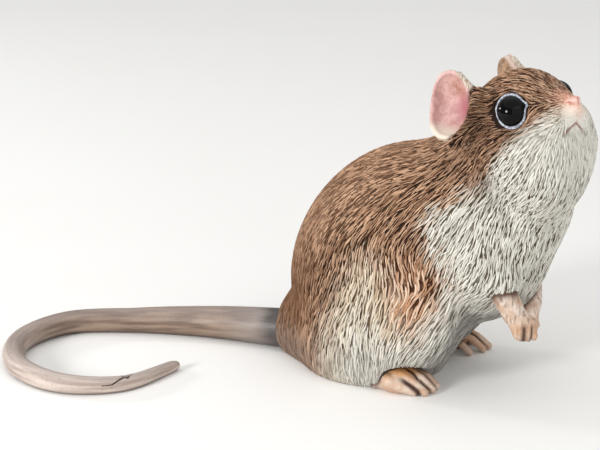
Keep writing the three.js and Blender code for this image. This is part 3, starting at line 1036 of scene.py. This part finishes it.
def makeEar(which):
    at, axes = earFrame(which)
    mass = earMass(which)
    verts, faces = skinOf(mass, at - ears["reach"], at + ears["reach"], ears["pitch"])
    verts = settled(mass, verts)
    q = inEar(which, verts) - [0, *ears["centre"]]
    forward, up = q[:, 1], q[:, 2]
    outwards = slope(mass, verts) @ axes
    layers = {
        "rim": smooth(earReach(q), 0.92, 1.0) * (0.12 + 0.6 * smooth(up + 0.5 * forward, 1, 5)),
        "back": smooth(-outwards[:, 0], -0.1, 0.35),
        "deep": bell(forward - 2.4, 2.2) * bell(up + 0.8, 3.2),
        "high": bell(forward - 1.6, 2.0) * bell(up - 3.6, 1.7),
        "low": smooth(-up - 0.35 * forward, 3.4, 6.2),
        "fold": closeTo(np.min([part(verts) for part in earFold(which)], axis=0), 0.4),
        # darker where the ear meets the coat: dark wash and painted shade
        "washAndShadeAtCoat": closeTo(whole(verts), 0.5),
    }
    ear = addMesh("ear_cup_" + which, verts, faces, layers)
    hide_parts("ear_" + which)
    return ear


earPieces = [makeEar("left"), makeEar("right")]
print("ears")

nosePad = {
    "at": (12.4, 0, -0.35),
    "radii": (1.75, 1.75, 1.1),
    "below": ((12.4, 0, -1.5), (1.2, 0.8, 1.2)),  # down to the lips
    "nostril": (12.75, 1.45, -0.45),
    "wing": ((-0.6, -0.1, 0.1), (0.95, 0.7, 0.75)),  # round the nostril, from its place
    "hole": ((0, 0.45, 0), (0.55, 0.42, 0.26)),
    "holePaint": ((0, 0.3, 0), (0.75, 0.5, 0.36)),
    "groove": 0.14,
    "reach": 3,
    "pitch": 0.12,
}


def byNostril(part, side, q):
    # places from a part of the nostril on one side, and its radii
    shift, radii = nosePad[part]
    x, y, z = np.array(nosePad["nostril"]) + shift
    return q - [x, side * y, z], radii


def noseMass(p):
    q = toHead(p)
    pad = plainBall(q - np.array(nosePad["at"]), nosePad["radii"])
    place, radii = nosePad["below"]
    pad = softMin(pad, plainBall(q - np.array(place), radii), 0.8)
    for side in (1, -1):
        pad = softMin(pad, plainBall(*byNostril("wing", side, q)), 0.5)
        pad = softMax(pad, -plainBall(*byNostril("hole", side, q)), 0.25)
    groove = np.hypot(q[..., 1], np.maximum(q[..., 2] + 0.2, 0)) - nosePad["groove"]
    return softMax(pad, -groove, 0.3)


def makeNose():
    at = onHead(*nosePad["at"])
    verts, faces = skinOf(noseMass, at - nosePad["reach"], at + nosePad["reach"], nosePad["pitch"])
    verts = settled(noseMass, verts)
    offset, radii = byNostril("holePaint", -1, onRight(toHead(verts)))
    nose = addMesh("nose_pad", verts, faces, {"hole": bell(np.linalg.norm(offset / radii, axis=-1), 1)})
    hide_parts("nose")
    return nose


nosePiece = makeNose()
print("nose")


# forepaws: bare wrist, small palm and four hanging fingers
paws = {
    "elbows": {"left": (33.9, 9.1, 22), "right": (34.8, -10.7, 23.8)},
    "wrists": {"left": (36.3, 2.9, 17.8), "right": (36.7, -9.5, 19.3)},
    "hands": {"left": (36.2, 1.3, 14.9), "right": (39.0, -9.1, 16.4)},
    "armRadii": (2.7, 2.45, 2.15),
    "palm": (1.5, 2.5, 2.65),
    "down": (0.16, 0, -0.98),
    "spread": (0.9, 0.42, 0),  # the way the knuckles run on the right hand
    "fingers": ((-1.95, 0.68), (-1.32, 0.62), (0.5, 0.56), (1.8, 0.64)),  # place across the hand, radius
    "knuckle": -0.2,
    "bend": 1.6,
    "tip": 2.5,
    "cuts": ((-0.42, 0.55, 1), (1.16, 0.26, 1), (-1.7, 0.12, 0.3)),  # place, width and depth of the wash
    "reachBack": 5.2,
    "reachAhead": 4,
    "pitch": 0.18,
}


def makePaw(which):
    # right paw as modelled, left paw as its mirror
    side = 1 if which == "right" else -1
    elbow, wrist, hand = [np.array(paws[part][which]) for part in ("elbows", "wrists", "hands")]
    spread = unit(np.array(paws["spread"]) * [1, side, 1])
    down = unit(np.array(paws["down"]))
    back = np.cross(down, spread) * side
    axes = np.stack([back, spread, -down], axis=-1)

    def palm(p):
        return plainBall((p - hand) @ axes, paws["palm"])

    fingers = []
    for place, radius in paws["fingers"]:
        reach = 1 - 0.05 * (place - 0.2) ** 2  # the outer fingers are shorter
        root = hand + spread * place * 0.8 + down * paws["knuckle"] + back * 0.7
        bend = hand + spread * place + down * paws["bend"] * reach + back * 0.85
        tip = hand + spread * place * 0.95 + down * paws["tip"] * reach
        fingers.append((chain([root, bend, tip], (radius, radius, radius * 0.8)), 0.3))
    mass = gathered(chain([elbow, wrist, hand], paws["armRadii"]), (palm, 1.2), *fingers)
    low, high = np.minimum(hand, elbow) - paws["reachBack"], np.maximum(hand, elbow) + paws["reachAhead"]
    verts, faces = skinOf(mass, low, high, paws["pitch"])
    verts = settled(mass, verts)
    places = (verts - hand) @ spread
    lower = smooth(hand[2] + 1.9 - verts[:, 2], 0, 1.4)  # 1 on the fingers, 0 on the arm
    cuts = sum(depth * bell(places - place, width) for place, width, depth in paws["cuts"])
    layers = {
        "crease": np.clip(cuts, 0, 1) * lower,
        # darker where the arm meets the coat: dark wash and painted shade
        "washAndShadeAtCoat": closeTo(whole(verts), 0.65),
        "streak": 1 - lower,
        "tan": 0.45 * lower,
    }
    paw = addMesh("hand_" + which, verts, faces, layers)
    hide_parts("forepaw_" + which)
    return paw


def makeFoot(which):
    place = onFoot(which)
    shape = feet["instep"]
    turn = (feet["headings"][which], shape["pitch"], 0)
    instep = ball(place(shape["along"], shape["out"], shape["up"]), shape["radii"], turn)
    heel = limb(*[place(*spot) for spot in feet["heel"]], *feet["heelRadii"])
    lines = [[place(*spot) for spot in line] for line in feet["toes"][which]]
    toes = [chain(line, radii) for line, radii in zip(lines, feet["toeRadii"])]
    mass = gathered(instep, (heel, 2.0), *[(toe, 0.35) for toe in toes])
    middle = place(*feet["middle"])
    verts, faces = skinOf(mass, middle - feet["reachBack"], middle + feet["reachAhead"], feet["pitch"])
    verts = settled(mass, verts)
    gaps = np.sort(np.stack([toe(verts) for toe in toes]), axis=0)
    between = 1 - smooth(gaps[1] - gaps[0], 0.25, 1.15)  # 1 in the cuts between two toes
    between = between * smooth(verts[:, 0], middle[0] - 2.5, middle[0])
    verts[:, 2] = np.maximum(verts[:, 2], 0)
    layers = {
        "crease": between,
        # darker where the foot meets the coat: dark wash and painted shade
        "washAndShadeAtCoat": closeTo(whole(verts), 0.5),
        "streak": np.zeros(len(verts)),
        "tan": 0.85 * smooth(verts[:, 2], 3.2, 5.2) + feet["tans"][which],
    }
    foot = addMesh("foot_" + which, verts, faces, layers)
    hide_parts("hindfoot_" + which)
    return foot


pawPieces = [makePaw("left"), makePaw("right"), makeFoot("left"), makeFoot("right")]
print("paws and feet")


tail = {
    "path": [
        (-14.1, -0.2), (-27.9, -0.8), (-39.1, -1.9), (-54.5, -6.2), (-68.7, -14.5),
        (-72.0, -28.1), (-65.2, -40.1), (-51.7, -44.9), (-40.0, -39.2), (-34.7, -22.7),
    ],
    "radii": [(0, 4.68), (0.33, 2.82), (0.75, 2.23), (1, 1.2)],
    "flat": 0.1,
    "rings": 340,
    "around": 44,
    "crack": [  # share along the tail, turn about it in degrees, half width in millimetres
        (0.838, 163, 0.02), (0.853, 158, 0.06), (0.861, 134, 0.1), (0.871, 111, 0.2), (0.878, 95, 0.7),
        (0.884, 86, 0.4), (0.891, 82, 0.22), (0.899, 80, 0.05),
    ],
    "crackDepth": 0.9,
    "fineShares": (0.832, 0.904, 150),  # from, to and count of the finer rings at the crack
    "fineTurns": (66, 175, 70),
    "tipShares": (0.975, 1, 24),
    "tipLength": 2.2,  # in radii
    "start": 0.03,  # inside the skin
}


def centripetalCurve(stops, samples):
    # a smooth line through the stops, spaced evenly along its length
    stops = [np.array(s, float) for s in stops]
    stops = [2 * stops[0] - stops[1]] + stops + [2 * stops[-1] - stops[-2]]
    line = []
    for a, b, c, d in zip(stops, stops[1:], stops[2:], stops[3:]):
        steps = [max(np.linalg.norm(q - p) ** 0.5, 1e-6) for p, q in ((a, b), (b, c), (c, d))]
        t = np.cumsum([0] + steps)
        for u in np.linspace(t[1], t[2], 40, endpoint=False):
            ab = a + (b - a) * (u - t[0]) / (t[1] - t[0])
            bc = b + (c - b) * (u - t[1]) / (t[2] - t[1])
            cd = c + (d - c) * (u - t[2]) / (t[3] - t[2])
            abc = ab + (bc - ab) * (u - t[0]) / (t[2] - t[0])
            bcd = bc + (cd - bc) * (u - t[1]) / (t[3] - t[1])
            line.append(abc + (bcd - abc) * (u - t[1]) / (t[2] - t[1]))
    line = np.array(line + [stops[-2]])
    lengths = np.concatenate([[0], np.cumsum(np.linalg.norm(np.diff(line, axis=0), axis=1))])
    even = np.linspace(0, lengths[-1], samples)
    return np.stack([np.interp(even, lengths, line[:, k]) for k in range(3)], axis=-1), lengths[-1]


def crackShare(along, turn, radius, length):
    # 1 in the crack across the tail, 0 away from it; places are along the tail and round it
    nearest = np.full(np.broadcast(along, turn).shape, 1e9)
    for (share0, turn0, half0), (share1, turn1, half1) in zip(tail["crack"], tail["crack"][1:]):
        x, y = along - share0 * length, (turn - math.radians(turn0)) * radius
        dx, dy = (share1 - share0) * length, math.radians(turn1 - turn0) * radius
        t = np.clip((x * dx + y * dy) / (dx * dx + dy * dy), 0, 1)
        half = half0 + (half1 - half0) * t + 0.03
        nearest = np.minimum(nearest, np.hypot(x - t * dx, y - t * dy) / half)
    return 1 - smooth(nearest, 0.6, 1.4)


def tailRadius(share):
    return np.interp(share, *zip(*tail["radii"]))


def makeTail():
    path = np.array(tail["path"])
    heights = tailRadius(np.linspace(0, 1, len(path))) - tail["flat"]  # on the floor, a little flattened
    middle, length = centripetalCurve(np.column_stack([path, heights]), tail["rings"])
    even = np.linspace(0, 1, tail["rings"])
    finer = [np.linspace(*tail[part]) for part in ("fineShares", "tipShares")]
    share = np.unique(np.concatenate([even, *finer]))
    middle = np.stack([np.interp(share, even, middle[:, k]) for k in range(3)], axis=-1)
    radius = tailRadius(share)
    toTip = np.clip(1 - (1 - share) * length / radius / tail["tipLength"], 0, 1)
    radius = radius * np.sqrt(np.maximum(1 - toTip**2, 0.0004))
    ahead = unit(np.gradient(middle, share, axis=0))
    across = unit(np.cross(np.array([0, 0, 1.0]), ahead))
    above = np.cross(ahead, across)
    around = np.linspace(0, 360, tail["around"], endpoint=False)
    turn = np.radians(np.unique(np.concatenate([around, np.linspace(*tail["fineTurns"])])))
    ray = across[:, None] * np.cos(turn)[None, :, None] + above[:, None] * np.sin(turn)[None, :, None]
    crack = crackShare(share[:, None] * length, turn[None, :], radius[:, None], length)
    verts = middle[:, None] + ray * (radius[:, None] - tail["crackDepth"] * crack)[..., None]
    verts[..., 2] = np.maximum(verts[..., 2], 0)
    keep = share > tail["start"]
    rows = int(keep.sum())
    layers = {
        "share": np.repeat(share[keep], len(turn)),
        "across": np.tile(np.cos(turn), rows),
        "above": np.tile(np.sin(turn), rows),
        "crack": crack[keep].ravel(),
    }
    piece = addMesh("tail", verts[keep].reshape(-1, 3), gridFaces(rows, len(turn)), layers)
    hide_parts("tail_root", "tail_middle", "tail_bend", "tail_tip")
    return piece


tailPiece = makeTail()
print("tail")


# finishes: all is cast resin in acrylic paint, laid on in coats
def addNode(tree, kind, inputs=None, **settings):
    # an input is a number, a node, one of its outputs, a hex colour or the name of a marking on the mesh
    node = tree.nodes.new(kind)
    for key, value in settings.items():
        setattr(node, key, value)
    for key, value in (inputs or {}).items():
        if isinstance(value, str) and value.startswith("#"):
            value = colourOf(value)
        elif isinstance(value, str):
            value = addNode(tree, "ShaderNodeAttribute", attribute_name=value).outputs["Fac"]
        elif isinstance(value, bpy.types.Node):
            value = value.outputs[0]
        if isinstance(value, bpy.types.NodeSocket):
            tree.links.new(value, node.inputs[key])
        else:
            node.inputs[key].default_value = value
    return node


def newMaterial(name):
    material = bpy.data.materials.new(name)
    material.use_nodes = True
    material.node_tree.nodes.clear()
    return material, material.node_tree


def finishMaterial(tree, inputs, relief=None):
    # relief is a pattern, its strength and its depth in millimetres
    if relief:
        pattern, strength, depth = relief
        inputs["Normal"] = addNode(
            tree, "ShaderNodeBump", {"Height": pattern, "Strength": strength, "Distance": depth * mm}
        )
    shader = addNode(tree, "ShaderNodeBsdfPrincipled", inputs)
    addNode(tree, "ShaderNodeOutputMaterial", {"Surface": shader})


def cloud(tree, pitch, detail=3.0, stretch=None):
    # a cloudy pattern whose lumps are about pitch millimetres across
    where = addNode(tree, "ShaderNodeTexCoord").outputs["Object"]
    if stretch:
        where = addNode(tree, "ShaderNodeMapping", {"Vector": where, "Scale": stretch})
    inputs = {"Vector": where, "Scale": 1 / (pitch * mm), "Detail": detail}
    return addNode(tree, "ShaderNodeTexNoise", inputs)


def coated(tree, under, over, where, between=None, most=1.0, within=None):
    # paint over paint, where a pattern or marking says: coming in between two of its values, no
    # thicker than most, and only within another marking
    if between:
        inputs = {"Value": where, "From Min": between[0], "From Max": between[1], "To Max": most}
        where = addNode(tree, "ShaderNodeMapRange", inputs, interpolation_type="SMOOTHSTEP")
    if within:
        where = addNode(tree, "ShaderNodeMath", {0: where, 1: within}, operation="MULTIPLY")
    return addNode(tree, "ShaderNodeMix", {0: where, 6: under, 7: over}, data_type="RGBA").outputs[2]


coatPaint = {  # name of the marking: paint in its low and high tint, wash in its cuts
    "cream": ("#bcb8ae", "#e1dfd7", "#44351a"),  # under all the others
    "warm": ("#ad9e85", "#d8ceba", "#4a2c15"),
    "brown": ("#684630", "#c9a385", "#160701"),
    "rust": ("#583d2a", "#846046", "#2e1608"),
    "orange": ("#b58663", "#e3c9b1", "#46210a"),
    # grey paint and wash stand for the shade under the body and between the arms
    "grey": ("#797671", "#a19e98", "#4d4a45"),
    "pink": ("#dfa38a", "#f3cdbb", "#c98c72"),
}
# the dark brown laid over the ridges is darker paint behind the eye and painted shade in the creases and
# towards the back
coatTouches = {"shade": "#4a2f1e", "speckle": "#b9a17d", "lips": "#8f5f55"}


def paintedCoat():
    # carved resin: dark wash left in the cuts and pale dry-brushing on the ridges, satin-matt
    material, tree = newMaterial("acrylicPaintOverCarvedResin")
    low, high, cut = coatPaint["cream"]
    ridge = coated(tree, low, high, "tint")
    for name in list(coatPaint)[1:]:
        low, high, wash = coatPaint[name]
        ridge = coated(tree, ridge, coated(tree, low, high, "tint"), name)
        cut = coated(tree, cut, wash, name)
    # dark brown over the ridges: darker paint and painted shade
    ridge = coated(tree, ridge, coatTouches["shade"], "shade")
    cut = coated(tree, coated(tree, ridge, cut, 0.3), cut, "wash")
    # the crest of each lock, made patchy and lowered where the wash is heavy
    patchy = addNode(tree, "ShaderNodeMath", {0: cloud(tree, 2.2), 1: 0.5}, operation="SUBTRACT")
    crest = addNode(tree, "ShaderNodeMath", {0: patchy, 1: 0.7, 2: "crest"}, operation="MULTIPLY_ADD")
    depth = addNode(tree, "ShaderNodeMath", {0: "brown", 1: 0.08, 2: 0.14}, operation="MULTIPLY_ADD")
    heavy = addNode(tree, "ShaderNodeMath", {0: depth, 1: "wash"}, operation="MULTIPLY")
    crest = addNode(tree, "ShaderNodeMath", {0: heavy, 1: -1.0, 2: crest}, operation="MULTIPLY_ADD")
    paint = coated(tree, cut, ridge, crest, (0.05, 0.50))
    paint = coated(tree, paint, coatTouches["speckle"], cloud(tree, 0.5), (0.5, 0.66), 0.4, "bare")
    paint = coated(tree, paint, coatTouches["lips"], "lips")
    finish = {"Base Color": paint, "Roughness": 0.62, "IOR": 1.49, "Specular IOR Level": 0.1}
    finishMaterial(tree, finish, (cloud(tree, 0.25, 2.0), 0.25, 0.05))
    return material


fleshPaint = {
    "low": "#c4a792",
    "high": "#ddcfc2",
    "freckles": "#b88a68",
    "lines": "#836856",  # fine lines down the arms
    "tan": "#b98657",
    # dark wash and painted shade where it meets the coat
    "washAndShadeAtCoat": "#4a2c17",  # wash where it meets the coat
    "crease": "#371909",
}


def paintedFlesh():
    # smooth resin in peach paint, a little shiny, with brown wash between the digits
    material, tree = newMaterial("acrylicPaintOverSmoothResin")
    lines = cloud(tree, 0.7, stretch=(1.0, 1.0, 0.22))
    tone = coated(tree, fleshPaint["low"], fleshPaint["high"], cloud(tree, 2.5), (0.38, 0.66))
    tone = coated(tree, tone, fleshPaint["freckles"], cloud(tree, 1.0), (0.52, 0.72), 0.5)
    tone = coated(tree, tone, fleshPaint["lines"], lines, (0.48, 0.64), 0.75, "streak")
    for name in ("tan", "washAndShadeAtCoat", "crease"):
        tone = coated(tree, tone, fleshPaint[name], name)
    relief = (cloud(tree, 0.5), 0.3, 0.08)
    finishMaterial(tree, {"Base Color": tone, "Roughness": 0.48, "IOR": 1.49}, relief)
    return material


nosePaint = {"low": "#d9a592", "high": "#f0d1c6", "hole": "#a35a4b"}


def paintedNose():
    # smooth resin, peach pink, a little wet-looking, darker in the nostrils
    material, tree = newMaterial("acrylicPaintPeachPink")
    tone = coated(tree, nosePaint["low"], nosePaint["high"], cloud(tree, 1.0), (0.35, 0.7))
    tone = coated(tree, tone, nosePaint["hole"], "hole")
    finishMaterial(tree, {"Base Color": tone, "Roughness": 0.42, "IOR": 1.49})
    return material


earPaint = {
    "cup": "#c0958e",
    "cupHigh": "#d8b3ac",
    "deep": "#aa6670",
    "blotches": "#b27a70",
    "mottle": "#9c6a4e",
    "low": "#d9cbba",
    "rim": "#d9c6b6",
    "behind": "#a68262",
    "behindDark": "#77573f",
    "hairs": "#bdb2a2",
    "hairsDark": "#8d7b67",
    # dark wash and painted shade where the ear meets the coat
    "washAndShadeAtCoat": "#4a2c1c",
}


def paintedEar():
    # thin resin cup: mottled pink inside, cream on its rim, tan behind, satin
    material, tree = newMaterial("acrylicPaintEarPink")
    strands = cloud(tree, 0.5, stretch=(1.0, 1.0, 0.3))
    tone = coated(tree, earPaint["cup"], earPaint["cupHigh"], cloud(tree, 2.0), (0.38, 0.66))
    tone = coated(tree, tone, earPaint["deep"], "deep")
    tone = coated(tree, tone, earPaint["blotches"], cloud(tree, 0.6, 4.0), (0.5, 0.68), 0.6)
    tone = coated(tree, tone, earPaint["mottle"], cloud(tree, 0.5, 4.0), (0.4, 0.6), within="high")
    tone = coated(tree, tone, earPaint["low"], "low")
    tone = coated(tree, tone, earPaint["rim"], "rim")
    behind = coated(tree, earPaint["behind"], earPaint["behindDark"], cloud(tree, 1.3), (0.4, 0.62))
    hairs = coated(tree, earPaint["hairs"], earPaint["hairsDark"], strands, (0.45, 0.62))
    tone = coated(tree, coated(tree, tone, behind, "back"), hairs, "fold")
    tone = coated(tree, tone, earPaint["washAndShadeAtCoat"], "washAndShadeAtCoat")
    relief = (cloud(tree, 0.7), 0.5, 0.12)
    finishMaterial(tree, {"Base Color": tone, "Roughness": 0.5, "IOR": 1.49}, relief)
    return material


# the outside colour is a painted shadow line round the lid
lidPaint = {"outside": "#1c1614", "low": "#6f6e7e", "high": "#b5bcc4"}


def paintedLid():
    # a pale blue-grey line of paint round the bead, with a painted shadow outside it
    material, tree = newMaterial("acrylicPaintLid")
    line = coated(tree, lidPaint["low"], lidPaint["high"], cloud(tree, 0.4), (0.38, 0.6))
    tone = coated(tree, lidPaint["outside"], line, "tone", (0.1, 0.35))
    finishMaterial(tree, {"Base Color": tone, "Roughness": 0.35, "IOR": 1.49})
    return material


tailPaint = {
    "brown": ("#634e42", "#95806f"),  # towards the root, in its dark and pale streaks
    "pale": ("#9d8b81", "#cbbcb2"),  # towards the tip
    # a painted highlight along the top
    "top": "#aca19b",
    # darker underneath: paint and painted shade
    "under": "#4b3a30",
    "blotches": "#6d5c52",
    "rootGrey": "#8f8a88",
    "rootDark": "#4c4643",
    "crack": "#0b0908",
    "streaks": {"along": 4.5, "scale": 2.8, "detail": 6.0},
}


def tailStreaks(tree):
    # a cloudy pattern drawn out along the tail, by its own length and turn
    streaks = tailPaint["streaks"]
    where = addNode(tree, "ShaderNodeCombineXYZ", {"X": "share", "Y": "across", "Z": "above"})
    where = addNode(tree, "ShaderNodeMapping", {"Vector": where, "Scale": (streaks["along"], 1.0, 1.0)})
    inputs = {"Vector": where, "Scale": streaks["scale"], "Detail": streaks["detail"]}
    return addNode(tree, "ShaderNodeTexNoise", inputs)


def paintedTail():
    # smooth resin, grey-brown, streaked along its length, satin, with a painted highlight along the top
    # and darker paint with painted shade underneath
    material, tree = newMaterial("acrylicPaintTail")
    streak = tailStreaks(tree)
    brown, pale = [coated(tree, *tailPaint[name], streak, (0.3, 0.7)) for name in ("brown", "pale")]
    fromRoot = addNode(tree, "ShaderNodeMath", {0: streak, 1: -0.07, 2: "share"}, operation="MULTIPLY_ADD")
    tone = coated(tree, brown, pale, "share", (0.4, 0.75))
    # painted highlight along the top
    tone = coated(tree, tone, tailPaint["top"], "above", (0.3, 0.95), 0.35)
    # darker paint and painted shade underneath
    tone = coated(tree, tone, tailPaint["under"], "above", (-0.35, -0.9), 0.75)
    tone = coated(tree, tone, tailPaint["blotches"], cloud(tree, 0.5, 4.0), (0.56, 0.72), 0.4)
    tone = coated(tree, tone, tailPaint["rootGrey"], fromRoot, (0.13, 0.05), 0.45)
    tone = coated(tree, tone, tailPaint["rootDark"], fromRoot, (0.055, 0.02))
    tone = coated(tree, tone, tailPaint["crack"], "crack")
    finishMaterial(tree, {"Base Color": tone, "Roughness": 0.45, "IOR": 1.49}, (streak, 0.3, 0.15))
    return material


def blackBead():
    # polished acrylic bead: black, with sharp small highlights
    material, tree = newMaterial("polishedBlackBead")
    finish = {"Base Color": "#030303", "Roughness": 0.05, "IOR": 1.5, "Specular IOR Level": 0.14}
    finishMaterial(tree, finish)
    return material


def dress(pieces, material):
    for piece in pieces:
        piece.data.materials.clear()
        piece.data.materials.append(material)


dress([skin] + coatPieces, paintedCoat())
dress(pawPieces, paintedFlesh())
dress([nosePiece], paintedNose())
dress(earPieces, paintedEar())
dress(lidPieces, paintedLid())
dress(eyePieces, blackBead())
dress([tailPiece], paintedTail())
print("materials")

# table, light and camera
scene = bpy.context.scene
tableTop = {"reach": 900, "low": "#f3f2ef", "high": "#f7f6f4"}
lights = {  # place, size and power of each soft lamp
    "overhead": ((60, -60, 1250), 3200, 15),
    "front": ((800, -620, 300), 1600, 5.4),
    "sideSpot": ((-245, -545, 205), 155, 2.45),
    "backSpot": ((-560, -30, 185), 70, 0.8),
}
studio = {"lightsAt": (5, -5, 30), "daylight": 0.36}
view = {"azimuth": 25, "elevation": 17, "at": (139.857, -334.657, 141.807), "lens": 105, "sensor": 36}


def makeTable():
    # matt board
    reach = tableTop["reach"] * mm
    corners = [(-reach, -reach, 0), (reach, -reach, 0), (reach, reach, 0), (-reach, reach, 0)]
    mesh = bpy.data.meshes.new("table")
    mesh.from_pydata(corners, [], [(0, 1, 2, 3)])
    table = bpy.data.objects.new("table", mesh)
    scene.collection.objects.link(table)
    material, tree = newMaterial("paleMattBoard")
    tone = coated(tree, tableTop["low"], tableTop["high"], cloud(tree, 60))
    finishMaterial(tree, {"Base Color": tone, "Roughness": 0.8})
    mesh.materials.append(material)


def softLight(name, place, size, power):
    data = bpy.data.lights.new(name, "AREA")
    data.shape = "DISK"
    data.size = size * mm
    data.energy = power
    light = bpy.data.objects.new(name, data)
    light.location = Vector(place) * mm
    aim = Vector(studio["lightsAt"]) - Vector(place)
    light.rotation_euler = aim.to_track_quat("-Z", "Y").to_euler()
    scene.collection.objects.link(light)


def makeCamera():
    data = bpy.data.cameras.new("camera")
    data.lens = view["lens"]
    data.sensor_width = view["sensor"]
    data.clip_start = 0.01
    camera = bpy.data.objects.new("camera", data)
    camera.location = Vector(view["at"]) * mm
    camera.rotation_euler = (math.radians(90 - view["elevation"]), 0, math.radians(view["azimuth"]))
    scene.collection.objects.link(camera)
    scene.camera = camera


makeTable()
for name, (place, size, power) in lights.items():
    softLight(name, place, size, power)
makeCamera()
world = bpy.data.worlds.new("studio")
world.use_nodes = True
background = world.node_tree.nodes["Background"]
background.inputs["Color"].default_value = (1, 1, 1, 1)
background.inputs["Strength"].default_value = studio["daylight"]
scene.world = world
scene.view_settings.view_transform = "Standard"
print("table, light and camera")
